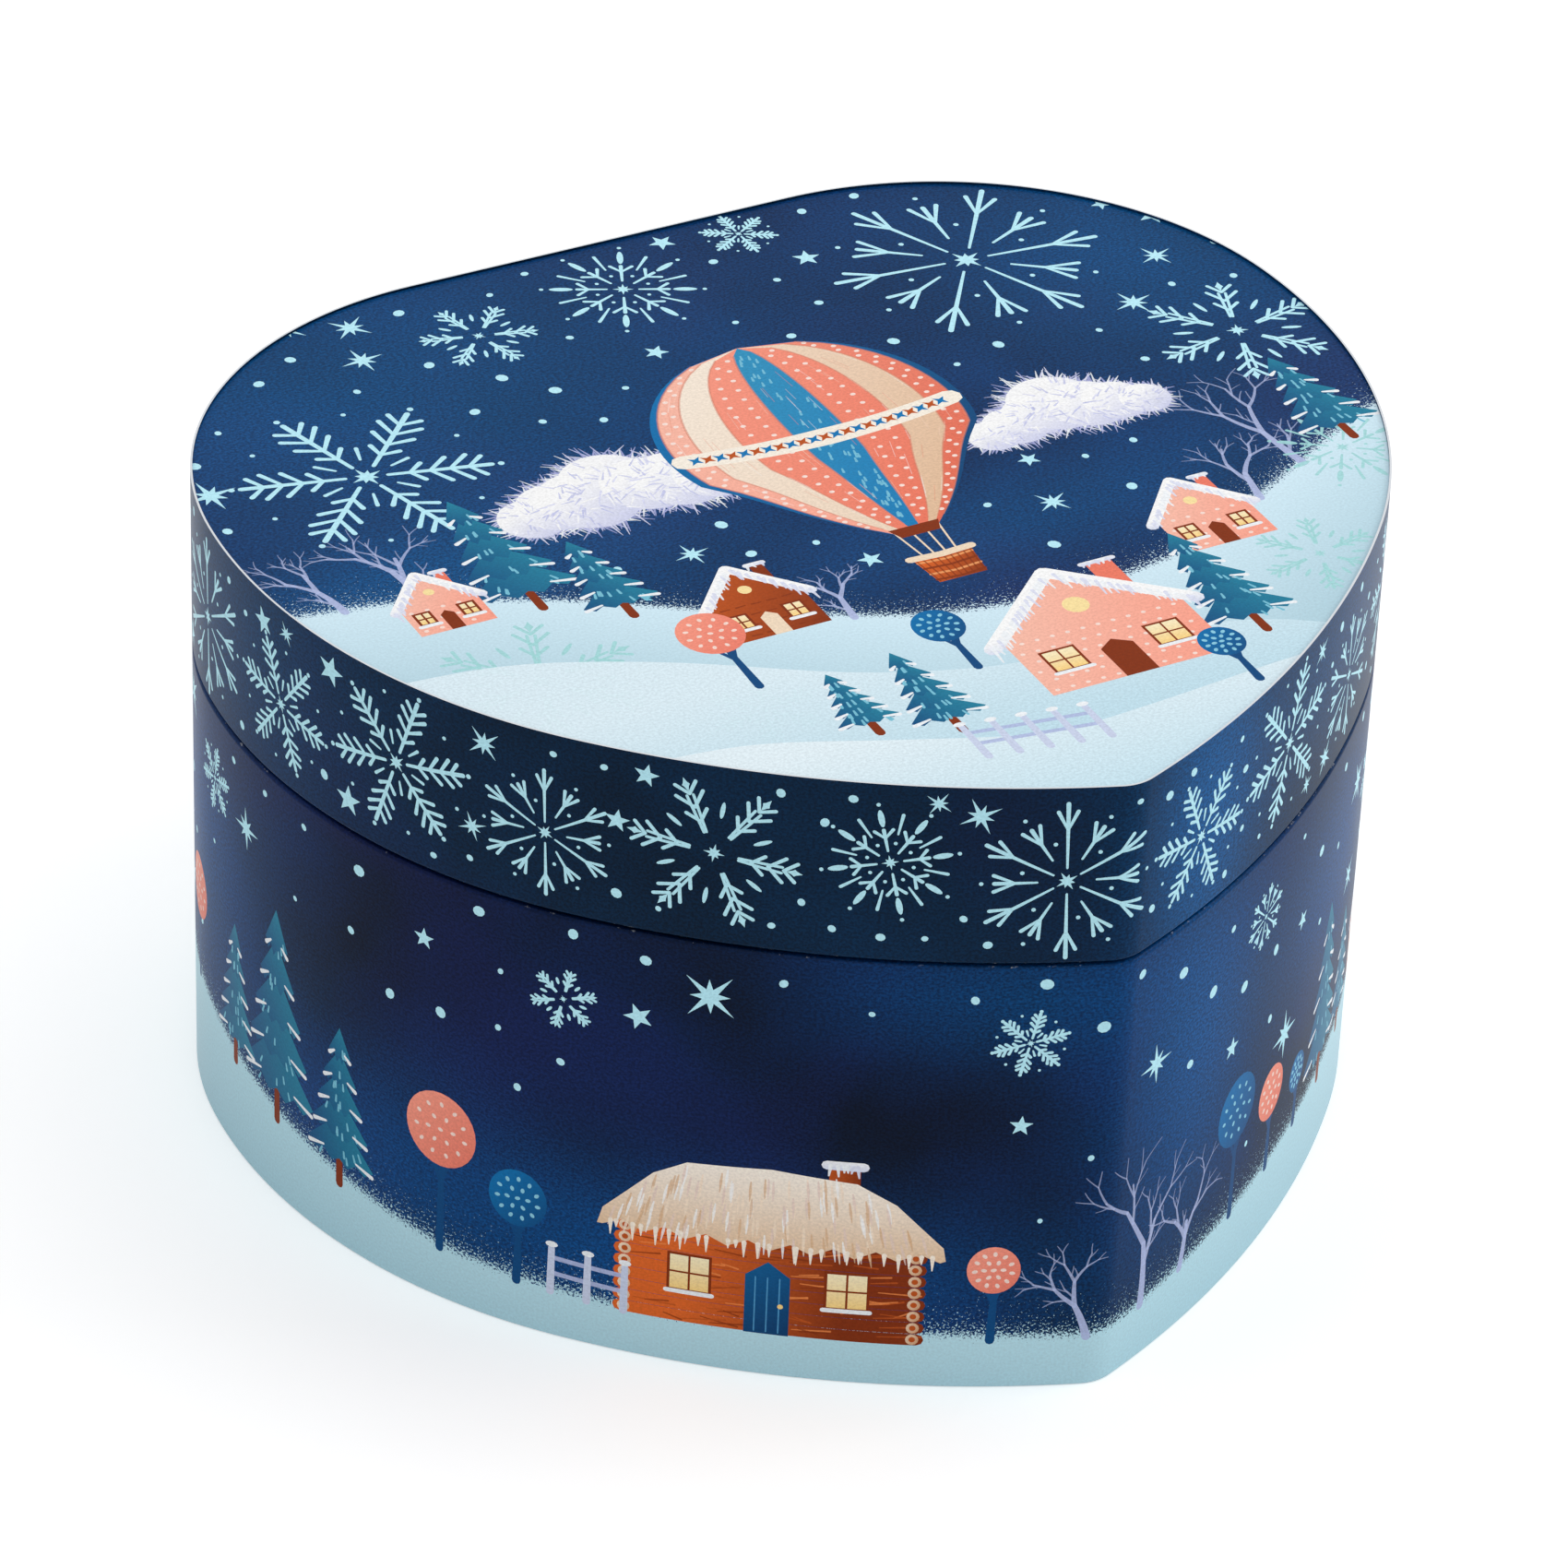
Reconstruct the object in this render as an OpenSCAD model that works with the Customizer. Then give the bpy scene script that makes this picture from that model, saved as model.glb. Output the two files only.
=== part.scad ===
// Wind-up music box: a heart-shaped paper-covered jewellery case with a hinged lid,
// an 18-note cylinder movement on its back wall and a small turning figure.
// Millimetres, +Z up. The origin is the middle of the heart's bounding box, on the underside.
// The straight hinge side faces +Y and the tip of the heart points to -Y.

/* [Case outline] */
// Half length of the straight back edge, where the lid is hinged
back_half = 29.9; // [28:0.1:36]
// Radius of each rear lobe
lobe_r = 52.3; // [50:0.1:58]
// Angle that each rear lobe turns through
lobe_turn = 82.9; // [80:0.1:86]
// Radius of each flank, in front of the lobe
flank_r = 83; // [76:0.5:92]
// Angle that each flank turns through
flank_turn = 49.4; // [46:0.1:54]
// Radius of the long sides that run to the tip
side_r = 148; // [130:1:180]
// Radius of the soft corner at the tip
tip_r = 6.4; // [5:0.1:12]

/* [Case heights and walls] */
// Height of the closed case
case_h = 97; // [92:0.5:120]
// Height of the base
base_h = 69.1; // [66:0.1:76]
// Gap between the closed lid and the base
seam_gap = 0.4; // [0.2:0.1:1]
// Thickness of the wall board
board_t = 2.4; // [2:0.1:3]
// Thickness of the floor board and the lid's top board
panel_t = 2; // [1.5:0.1:3]
// Thickness of the printed paper
paper_t = 0.3; // [0.2:0.05:0.5]
// Thickness of the flocked lining
lining_t = 0.4; // [0.3:0.05:0.8]
// Thickness of the flocked pad on the floor
pad_t = 1.5; // [1:0.1:3]
// Depth of the lid's top sheet below the paper edge around it
top_drop = 0.4; // [0.2:0.05:1]
// Width of the paper turned in under the case
turn_in = 12; // [8:1:20]
// Inset of the underside sheet from the outline
underside_inset = 3; // [2:0.5:6]

/* [Compartments] */
// Gap between the movement's bedplate and the side walls of its housing
housing_room = 1.4; // [1:0.1:2.4]
// Depth of the movement's housing from the back lining
housing_d = 31; // [30:0.5:40]
// Thickness of the housing walls and of the dividers
divider_t = 1.6; // [1.2:0.1:2.5]
// Height of the stage deck's top face
deck_z = 57; // [56:0.5:60]
// Thickness of the stage deck
deck_t = 1.6; // [1.2:0.1:2.4]
// Height of the dividers' top edge
divider_z = 50; // [30:1:55]
// Number of rolls in the ring cushion
roll_count = 7; // [3:1:8]
// Width of one ring roll
roll_w = 7.5; // [6:0.5:8]
// Length of the ring rolls
roll_l = 34; // [20:1:36]
// Height of the ring cushion above its pad
roll_h = 12; // [8:1:20]

/* [Lid fittings] */
// Width of the mirror in the lid
mirror_w = 78; // [50:1:84]
// Depth of the mirror in the lid
mirror_d = 58; // [40:1:62]
// Thickness of the mirror glass
mirror_t = 1.5; // [1:0.1:2]
// Corner radius of the mirror
mirror_r = 9; // [4:0.5:14]
// Width of the frame around the mirror
frame_w = 3; // [2:0.5:5]
// Thickness of the lid's ceiling card
ceiling_t = 0.8; // [0.5:0.1:1.5]
// Width of the ribbon that stays the lid
ribbon_w = 8; // [5:0.5:12]
// Thickness of the ribbon
ribbon_t = 0.4; // [0.3:0.05:0.8]

/* [Hinges] */
// Distance of each hinge's middle from the centre line
hinge_x = 18; // [17:0.5:19]
// Width of each hinge
hinge_w = 17; // [14:0.5:19]
// Height of each hinge leaf
leaf_h = 8; // [6:0.5:10]
// Thickness of the leaf
leaf_t = 0.6; // [0.5:0.05:0.8]
// Diameter of the hinge barrel
knuckle_d = 2.8; // [2.4:0.1:3.4]
// Diameter of the hinge pin
hinge_pin_d = 1.3; // [1:0.1:1.6]
// Diameter of the hinge screws
hinge_screw_d = 1.4; // [1:0.1:1.6]

/* [Movement] */
// Width of the bedplate
plate_w = 50; // [48:1:52]
// Height of the bedplate
plate_h = 47; // [45:1:50]
// Thickness of the bedplate
plate_t = 2; // [1.5:0.1:2.5]
// Height of the bedplate's lower edge above the floor board
plate_lift = 3; // [2:0.5:4]
// Height of the winding axis above the bedplate's lower edge
wind_rise = 14; // [13.5:0.5:15]
// Distance of the cylinder's axis from the bedplate
cylinder_off = 11; // [11:0.5:13]
// Diameter of the pinned cylinder
cylinder_d = 12; // [11:0.1:12]
// Length of the pinned cylinder
cylinder_l = 14.4; // [13:0.1:14.5]
// Height of the music pins above the cylinder
pin_h = 0.8; // [0.5:0.05:0.9]
// Number of notes, and of teeth on the comb
notes = 18; // [12:1:18]
// Outside diameter of the mainspring's housing
barrel_d = 18; // [15:0.5:18]
// Diameter of the winding shaft
wind_shaft_d = 3; // [2.5:0.1:3.5]
// Diameter of the cylinder's arbor
arbor_d = 2; // [1.6:0.1:2.2]
// Radial clearance of a shaft in its bore
fit = 0.05; // [0.02:0.01:0.08]

/* [Gears] */
// Module of the drive wheel and its pinion
drive_module = 0.58; // [0.56:0.01:0.6]
// Teeth on the drive wheel
drive_teeth = 40; // [40:2:42]
// Teeth on the cylinder's pinion
pinion_teeth = 12; // [11:1:13]
// Module of the train to the governor
train_module = 0.5; // [0.48:0.01:0.52]
// Teeth on the cylinder's upper wheel
train_teeth = 40; // [38:2:42]
// Teeth on the governor wheel's pinion
governor_pinion_teeth = 10; // [9:1:11]
// Teeth on the governor's worm wheel
worm_wheel_teeth = 18; // [16:1:20]
// Pitch radius of the worm wheel
worm_wheel_r = 4.3; // [4:0.05:4.5]
// Pitch radius of the worm
worm_r = 1.5; // [1.4:0.05:1.6]
// Diameter of the governor's shafts
governor_shaft_d = 1; // [0.8:0.05:1.2]
// Reach of the fan's vanes
fan_r = 5.4; // [4:0.1:5.6]

/* [Winding key] */
// Width of the key's two wings, tip to tip
key_w = 24; // [18:0.5:28]
// Height of the key's wings
key_h = 11; // [8:0.5:13]
// Thickness of the key's wings
key_t = 1.6; // [1.2:0.1:2.5]
// Clear distance from the case to the key's wings
key_stand = 5; // [4:0.5:8]

/* [Figure] */
// Diameter of the turning disc under the figure
disc_d = 20; // [16:0.5:24]
// Clear height between the figure's hat and the lid's mirror
figure_room = 2.4; // [1.4:0.1:6]
// Diameter of the figure's skirt
skirt_d = 17; // [12:0.5:20]
// Diameter of the figure's head
head_d = 8; // [6:0.5:9]

/* [Hidden] */
$fn = 96;

// Small lengths shared by many pieces
eps = 0.01;       // a cut runs this far past the face it opens
air = 0.3;        // gap kept between pieces that pass each other
housing_w = plate_w + 2 * (housing_room + divider_t);

// The heart's outline: arcs that run tangent into each other, right half, clockwise from the back
function dir(a) = [cos(a), sin(a)];
lobe_end = 90 - lobe_turn;
flank_end = lobe_end - flank_turn;
flank_x = back_half - (flank_r - lobe_r) * cos(lobe_end);
side_x = flank_x - (side_r - flank_r) * cos(flank_end);
lobe_drop = lobe_r;
flank_drop = lobe_drop + (flank_r - lobe_r) * sin(lobe_end);
side_drop = flank_drop + (side_r - flank_r) * sin(flank_end);
tip_drop = side_drop + sqrt(pow(side_r - tip_r, 2) - pow(side_x, 2));
case_d = tip_drop + tip_r;
back_y = case_d / 2;
lobe_c = [back_half, back_y - lobe_drop];
flank_c = [flank_x, back_y - flank_drop];
side_c = [side_x, back_y - side_drop];
lobe_steps = 20;
flank_steps = 12;
side_steps = 9;
tip_steps = 4;

function tip_radius(inset) = max(tip_r - inset, 0);
function tip_centre(inset) =
  [0, side_c.y - sqrt(pow(side_r - inset - tip_radius(inset), 2) - pow(side_c.x, 2))];
function tip_start(inset) =
  let (k = tip_centre(inset)) atan2(k.y - side_c.y, -side_c.x);
function arc(c, r, start, end, steps) =
  [for (i = [0 : steps]) c + r * dir(start + (end - start) * i / steps)];
function half_heart(inset) = let (k = tip_centre(inset), turn = tip_start(inset)) concat(
  arc(lobe_c, lobe_r - inset, 90, lobe_end, lobe_steps),
  [for (i = [1 : flank_steps]) flank_c
    + (flank_r - inset) * dir(lobe_end - flank_turn * i / flank_steps)],
  [for (i = [1 : side_steps]) side_c
    + (side_r - inset) * dir(flank_end + (turn - flank_end) * i / side_steps)],
  tip_radius(inset) > 0
    ? [for (i = [1 : tip_steps]) k + tip_radius(inset) * dir(turn + (-90 - turn) * i / tip_steps)]
    : []);
function mirrored(points) =
  [for (i = [len(points) - 2 : -1 : 0]) [-points[i].x, points[i].y]];
function heart_points(inset) = concat(half_heart(inset), mirrored(half_heart(inset)));

// Where the inner outline of the front runs, at a distance x from the centre line
function front_y(x, inset) = side_c.y - sqrt(pow(side_r - inset, 2) - pow(x - side_c.x, 2));

// Heights, from the ground up
sheet_top = paper_t;
wrap_z = sheet_top;
board_z = wrap_z + paper_t;
floor_z = board_z + panel_t;
pad_z = floor_z + pad_t;
lid_z = base_h + seam_gap;
sheet_z = case_h - top_drop - paper_t;
top_board_z = sheet_z - panel_t;
ceiling_z = top_board_z - ceiling_t;
mirror_z = ceiling_z - mirror_t;

// Insets from the outline, from the outside in
board_in = paper_t;
inner_in = board_in + board_t;
lined_in = inner_in + lining_t;
inner_back = back_y - lined_in;

// The hinge axis lies just behind the back wall, level with the gap
hinge_y = back_y + knuckle_d / 2;
hinge_z = base_h + seam_gap / 2;
knuckles = 5;
knuckle_w = hinge_w / knuckles;

// Movement: the bedplate stands against the back lining
plate_z = floor_z + plate_lift;
plate_front = inner_back - plate_t;
wind_z = plate_z + wind_rise;
cyl_y = plate_front - cylinder_off;
drive_r = drive_module * drive_teeth / 2;
pinion_r = drive_module * pinion_teeth / 2;
train_r = train_module * train_teeth / 2;
gov_pinion_r = train_module * governor_pinion_teeth / 2;
drive_tooth = 2;
drive_tooth_l = 1.8;
drive_disc_t = 1.5;
drive_tip_y = cyl_y + pinion_r - 0.85 * drive_module;
drive_disc_y = drive_tip_y + drive_tooth;
pinion_l = drive_tooth_l - 0.2;
pinion_z = wind_z + drive_r - pinion_l / 2;
barrel_front = drive_tip_y - air;
barrel_l = 12;
cylinder_z = pinion_z + pinion_l + 1.2;
wheel_t = 1;
cyl_wheel_z = cylinder_z + cylinder_l + 0.5;
bridge_t = 1.5;
lower_bridge_z = pinion_z - 0.3 - bridge_t;
upper_bridge_z = cyl_wheel_z + wheel_t + 0.3;
bridge_w = 6;
arbor_foot = lower_bridge_z;
disc_t = 2;
disc_gap = 1.6;
disc_z = deck_z + disc_gap;
disc_top = disc_z + disc_t;
figure_h = mirror_z - figure_room - disc_top;

// Comb: its tips stop just short of the circle that the pins run in
pin_circle = cylinder_d / 2 + pin_h;
comb_gap = 0.15;
comb_t = 1;
comb_heel = 6;
comb_margin = 3;
comb_tip_x = pin_circle + comb_gap;
comb_end_x = plate_w / 2 - comb_margin;
comb_root_x = comb_end_x - comb_heel;
note_pitch = (cylinder_l - 1.2) / notes;
comb_z = cylinder_z + 0.6;
comb_y = cyl_y - comb_t / 2;

// Governor: the worm wheel stands beside the cylinder, the worm crosses behind it
gov_x = -(train_r + gov_pinion_r);
worm_x = gov_x - worm_wheel_r - worm_r;
worm_z = cyl_wheel_z - 4.4;
worm_lead = 2 * PI * worm_wheel_r / worm_wheel_teeth;
worm_root = worm_r - 0.45;
worm_tip = worm_r + 0.42;
worm_wheel_t = 1.2;
worm_l = 6;
worm_post_t = 1.2;
worm_post_ys = [cyl_y - worm_l / 2 - 2 * worm_post_t, cyl_y + worm_l / 2 + worm_post_t];
drum_d = 4;
drum_l = 1.6;

// Stop rod: a wire that the closed lid holds down on the fan's drum
rod_d = 1.2;
rod_x = worm_x;
rod_y = plate_front - 2.6;
brake_gap = 0.1;
lug_w = 3.6;
lug_h = 3;
plate_margin = 3;
plate_head_d = 3.6;
plate_hole_x = plate_w / 2 - plate_margin;
plate_hole_zs = [plate_z + plate_margin, plate_z + plate_h - plate_margin];
lug_z = plate_hole_zs[1] - plate_head_d / 2 - air - lug_h;
knee_z = lug_z + lug_h + 0.6;
pad_z0 = worm_z + drum_d / 2 + brake_gap;
block_z = lid_z + 4.5;
rod_top = block_z - brake_gap;

// A plate with the heart's outline, and a wall that follows it
module heart(inset, h) {
  linear_extrude(h) polygon(heart_points(inset));
}
module heart_wall(inset, t, h) {
  linear_extrude(h) difference() {
    polygon(heart_points(inset));
    polygon(heart_points(inset + t));
  }
}
module at(x, y, z) {
  translate([x, y, z]) children();
}
// A cylinder along Y that starts at y = 0 and runs to -Y
module rod_y(d, l) {
  rotate([90, 0, 0]) cylinder(d = d, h = l);
}
module both_sides() {
  for (side = [-1, 1]) translate([side * hinge_x, 0, 0]) children();
}
// A spur gear with straight-sided teeth; slack narrows every tooth
module spur(mod, teeth, h, slack = 0.12) {
  r = mod * teeth / 2;
  root = r - 1.2 * mod;
  tip = r + 0.85 * mod;
  base_w = mod * PI / 2 * 1.05 - slack;
  tip_w = base_w * 0.55;
  linear_extrude(h) union() {
    circle(r = root);
    for (i = [0 : teeth - 1]) rotate(i * 360 / teeth)
      polygon([[root * 0.85, -base_w / 2], [r, -base_w / 2 + 0.02], [tip, -tip_w / 2],
        [tip, tip_w / 2], [r, base_w / 2 - 0.02], [root * 0.85, base_w / 2]]);
  }
}

// ---- Case ----
module underside_sheet() {
  color("#d9dde2") heart(underside_inset, paper_t);
}
module shaft_passage() {
  at(0, back_y + 1, wind_z) rod_y(wind_shaft_d + 2, lined_in + 2);
}
module base_wrap() {
  color("#22305f") difference() {
    union() {
      at(0, 0, wrap_z) heart_wall(0, paper_t, base_h - wrap_z);
      at(0, 0, wrap_z) heart_wall(0, turn_in, paper_t);
      at(0, 0, base_h - paper_t) heart_wall(0, inner_in, paper_t);
    }
    shaft_passage();
  }
}
module base_board() {
  color("#8f8b84") difference() {
    at(0, 0, board_z) heart_wall(board_in, board_t, base_h - paper_t - board_z);
    shaft_passage();
  }
}
module base_floor() {
  color("#8f8b84") at(0, 0, board_z) heart(inner_in, panel_t);
}
module base_lining() {
  color("#2f5fa8") difference() {
    at(0, 0, floor_z) heart_wall(inner_in, lining_t, base_h - paper_t - floor_z);
    shaft_passage();
  }
}
module floor_pad() {
  color("#2f5fa8") difference() {
    at(0, 0, floor_z) heart(lined_in, pad_t);
    at(-housing_w / 2, inner_back - housing_d, floor_z - eps)
      cube([housing_w, housing_d + 1, pad_t + 1]);
  }
}
module divider(side) {
  near = inner_back - housing_d;
  x = side > 0 ? housing_w / 2 - divider_t : -housing_w / 2;
  reach = near - front_y(housing_w / 2, lined_in) - air;
  at(x, near - reach, pad_z) cube([divider_t, reach, divider_z - pad_z]);
}
module left_divider() {
  color("#2f5fa8") divider(-1);
}
module right_divider() {
  color("#2f5fa8") divider(1);
}
module ring_cushion() {
  x0 = housing_w / 2 + 6;
  y0 = flank_c.y - roll_count * roll_w / 2 + roll_w / 2;
  color("#ffbfa8") at(x0, y0, pad_z) {
    for (i = [0 : roll_count - 1]) at(0, i * roll_w, roll_h - roll_w / 2) rotate([0, 90, 0])
      cylinder(d = roll_w - 0.2, h = roll_l);
    at(0, -roll_w / 2, 0) cube([roll_l, roll_count * roll_w, roll_h - roll_w / 2]);
  }
}
module movement_housing() {
  wall_z = deck_z - deck_t;
  front = inner_back - housing_d;
  color("#2f5fa8") difference() {
    at(-housing_w / 2, front, floor_z) cube([housing_w, housing_d, wall_z - floor_z]);
    at(-housing_w / 2 + divider_t, front + divider_t, floor_z - 1)
      cube([housing_w - 2 * divider_t, housing_d, wall_z - floor_z + 2]);
  }
}
module stage_deck() {
  front = inner_back - housing_d;
  color("#cfe6f3") difference() {
    at(-housing_w / 2, front, deck_z - deck_t) cube([housing_w, housing_d, deck_t]);
    at(0, cyl_y, deck_z - deck_t - 1) cylinder(d = arbor_d + 4, h = deck_t + 2);
    at(rod_x, rod_y, deck_z - deck_t - 1) cylinder(d = rod_d + 2 * fit, h = deck_t + 2);
  }
}
module stage_collar() {
  color("#d8b25a") difference() {
    union() {
      at(0, cyl_y, deck_z - deck_t) cylinder(d = arbor_d + 4, h = deck_t);
      at(0, cyl_y, deck_z) cylinder(d = arbor_d + 7, h = 0.8);
    }
    at(0, cyl_y, deck_z - deck_t - 1) cylinder(d = arbor_d + 2 * fit, h = deck_t + 3);
  }
}
module key_escutcheon() {
  outer = wind_shaft_d + 9;
  color("#d8b25a") difference() {
    at(0, back_y + 0.8, wind_z) rod_y(outer, 0.8);
    at(0, back_y + 2, wind_z) rod_y(wind_shaft_d + 1.4, 4);
  }
}

// ---- Hinges ----
module hinge_leaf(up, mine) {
  difference() {
    union() {
      at(-hinge_w / 2, back_y, up ? hinge_z + air : hinge_z - leaf_h)
        cube([hinge_w, leaf_t, leaf_h - air]);
      for (i = mine) at(-hinge_w / 2 + i * knuckle_w + 0.05, hinge_y, hinge_z)
        rotate([0, 90, 0]) cylinder(d = knuckle_d - 0.1, h = knuckle_w - 0.1);
    }
    for (i = [0 : knuckles - 1]) if (len(search(i, mine)) == 0)
      at(-hinge_w / 2 + i * knuckle_w - 0.05, hinge_y, hinge_z)
        rotate([0, 90, 0]) cylinder(d = knuckle_d + 2 * air, h = knuckle_w + 0.1);
    at(-hinge_w / 2 - 1, hinge_y, hinge_z) rotate([0, 90, 0])
      cylinder(d = hinge_pin_d + (up ? 2 * fit : 0), h = hinge_w + 2);
    for (x = [-1, 1]) at(x * hinge_w / 3.2, back_y + leaf_t + 1, leaf_screw_z(up))
      rod_y(hinge_screw_d, leaf_t + 2);
  }
}
function leaf_screw_z(up) = hinge_z + (up ? 1 : -1) * leaf_h * 0.66;
module hinge_screws(up) {
  shank = board_t + paper_t;
  both_sides() for (x = [-1, 1]) at(x * hinge_w / 3.2, back_y + leaf_t, leaf_screw_z(up)) {
    at(0, 0.35, 0) rod_y(hinge_screw_d * 1.8, 0.35);
    rod_y(hinge_screw_d, leaf_t + shank * 0.8);
  }
}
module hinge_base_leaves() {
  color("#d8b25a") both_sides() hinge_leaf(false, [0, 2, 4]);
}
module hinge_lid_leaves() {
  color("#d8b25a") both_sides() hinge_leaf(true, [1, 3]);
}
module hinge_pins() {
  color("#c9ccd1") both_sides() at(-hinge_w / 2, hinge_y, hinge_z)
    rotate([0, 90, 0]) cylinder(d = hinge_pin_d, h = hinge_w);
}
module hinge_base_screws() {
  color("#c9ccd1") hinge_screws(false);
}
module hinge_lid_screws() {
  color("#c9ccd1") hinge_screws(true);
}

// ---- Lid ----
module lid_board() {
  color("#8f8b84") at(0, 0, lid_z + paper_t)
    heart_wall(board_in, board_t, sheet_z - lid_z - paper_t);
}
module lid_wrap() {
  color("#22305f") union() {
    at(0, 0, lid_z) heart_wall(0, paper_t, case_h - lid_z);
    at(0, 0, lid_z) heart_wall(0, inner_in, paper_t);
  }
}
module lid_top_board() {
  color("#8f8b84") at(0, 0, top_board_z) heart(inner_in, panel_t);
}
module lid_top_sheet() {
  color("#cfe6f3") at(0, 0, sheet_z) heart(paper_t, paper_t);
}
module lid_lining() {
  color("#2f5fa8") at(0, 0, lid_z + paper_t)
    heart_wall(inner_in, lining_t, top_board_z - lid_z - paper_t);
}
module lid_ceiling() {
  color("#cfe6f3") at(0, 0, ceiling_z) heart(lined_in, ceiling_t);
}
module rounded_plate(w, d, r, h) {
  linear_extrude(h) union() {
    square([w - 2 * r, d], center = true);
    square([w, d - 2 * r], center = true);
    for (x = [-1, 1], y = [-1, 1]) translate([x * (w / 2 - r), y * (d / 2 - r)]) circle(r = r);
  }
}
mirror_forward = 12;
mirror_y = lobe_c.y - mirror_forward;
module lid_mirror() {
  color("#c4ccd2") at(0, mirror_y, mirror_z) rounded_plate(mirror_w, mirror_d, mirror_r, mirror_t);
}
module mirror_frame() {
  lip = 1.2;
  face_t = 0.8;
  color("#d8b25a") at(0, mirror_y, mirror_z - face_t) difference() {
    rounded_plate(mirror_w + 2 * frame_w, mirror_d + 2 * frame_w, mirror_r + frame_w,
      mirror_t + face_t);
    at(0, 0, face_t) rounded_plate(mirror_w, mirror_d, mirror_r, mirror_t + 1);
    at(0, 0, -1) rounded_plate(mirror_w - 2 * lip, mirror_d - 2 * lip, mirror_r - lip, face_t + 2);
  }
}
block_w = 8;
block_d = 6;
module lid_stop_block() {
  color("#2f5fa8") at(rod_x - block_w / 2, inner_back - block_d, block_z)
    cube([block_w, block_d, ceiling_z - block_z]);
}

// The ribbon lies folded in a flat V between the two walls when the lid is shut
ribbon_anchor = [77, 20];
ribbon_slant = 8;
ribbon_rise = ribbon_w / 2 + 1;
ribbon_fold = 20;
module ribbon_leg(rise) {
  at(0, 0, rise) rotate([-atan2(rise, ribbon_fold), 0, 0])
    at(-ribbon_t, 0, -ribbon_w / 2) cube([ribbon_t, norm([rise, ribbon_fold]), ribbon_w]);
}
module ribbon_stay() {
  color("#ffbfa8") at(ribbon_anchor.x, ribbon_anchor.y, hinge_z) rotate([0, 0, ribbon_slant]) {
    ribbon_leg(ribbon_rise);
    ribbon_leg(-ribbon_rise);
  }
}

// ---- Movement ----
module bedplate() {
  color("#b9bdc2") difference() {
    union() {
      at(-plate_w / 2, plate_front, plate_z) cube([plate_w, plate_t, plate_h]);
      at(rod_x - lug_w / 2, rod_y - lug_w / 2, lug_z)
        cube([lug_w, plate_front - rod_y + lug_w / 2 + eps, lug_h]);
    }
    at(0, inner_back + 1, wind_z) rod_y(wind_shaft_d + 2 * fit, plate_t + 3);
    for (x = [-1, 1], z = plate_hole_zs) at(x * plate_hole_x, inner_back + 1, z)
      rod_y(2, plate_t + 3);
    at(rod_x, rod_y, lug_z - 1) cylinder(d = rod_d + 2 * fit, h = lug_h + 2);
  }
}
module bedplate_screws() {
  color("#c9ccd1") for (x = [-1, 1], z = plate_hole_zs) at(x * plate_hole_x, plate_front, z) {
    rod_y(plate_head_d, 1.2);
    at(0, plate_t + lining_t + board_t * 0.8, 0) rod_y(2, plate_t + lining_t + board_t * 0.8);
  }
}
barrel_wall = 0.8;
barrel_strap = 1.5;
module spring_housing() {
  strap_y = barrel_front - 4;
  strap_h = 6;
  leg_x = drive_r + drive_tooth_l / 2 + 0.8;
  color("#b9bdc2") difference() {
    union() {
      at(0, barrel_front, wind_z) rod_y(barrel_d, barrel_l);
      at(-leg_x - barrel_strap, strap_y, wind_z - strap_h / 2)
        cube([2 * (leg_x + barrel_strap), barrel_strap, strap_h]);
      for (x = [-leg_x - barrel_strap, leg_x]) at(x, strap_y, wind_z - strap_h / 2)
        cube([barrel_strap, plate_front - strap_y, strap_h]);
    }
    at(0, barrel_front - barrel_wall, wind_z)
      rod_y(barrel_d - 2 * barrel_wall, barrel_l - 2 * barrel_wall);
    at(0, barrel_front + 1, wind_z) rod_y(wind_shaft_d + 2 * fit, barrel_l + 2);
  }
}
// The mainspring: one strip wound in a spiral from the shaft out to its housing
spring_turns = 5;
spring_steps = 24;
spring_strip = 0.35;
function spiral(offset) = [for (i = [0 : spring_turns * spring_steps])
  let (inner = wind_shaft_d / 2 + 0.4, outer = barrel_d / 2 - barrel_wall - spring_strip - 0.3)
  (inner + (outer - inner) * i / (spring_turns * spring_steps) + offset)
    * dir(i * 360 / spring_steps)];
module mainspring() {
  inner_edge = spiral(0);
  outer_edge = spiral(spring_strip);
  color("#7d8794") at(0, barrel_front - barrel_wall - 1, wind_z) rotate([90, 0, 0])
    linear_extrude(barrel_l - 2 * barrel_wall - 2)
      polygon(concat(inner_edge, [for (i = [len(outer_edge) - 1 : -1 : 0]) outer_edge[i]]));
}
module drive_wheel() {
  tooth_w = 0.62;
  color("#d8b25a") at(0, 0, wind_z) difference() {
    union() {
      at(0, drive_disc_y + drive_disc_t, 0) rod_y(2 * drive_r + drive_tooth_l + 0.4, drive_disc_t);
      at(0, drive_disc_y + eps, 0) rod_y(wind_shaft_d + 5, drive_tooth - 0.6);
      for (i = [0 : drive_teeth - 1]) rotate([0, (i + 0.5) * 360 / drive_teeth, 0])
        at(-tooth_w / 2, drive_tip_y, drive_r - drive_tooth_l / 2)
          cube([tooth_w, drive_tooth + eps, drive_tooth_l]);
    }
    at(0, drive_disc_y + drive_disc_t + 1, 0) rod_y(wind_shaft_d + 2 * fit, drive_disc_t + drive_tooth + 2);
  }
}
ratchet_t = 1;
ratchet_y = drive_disc_y + drive_disc_t + ratchet_t + 0.1;
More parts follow.
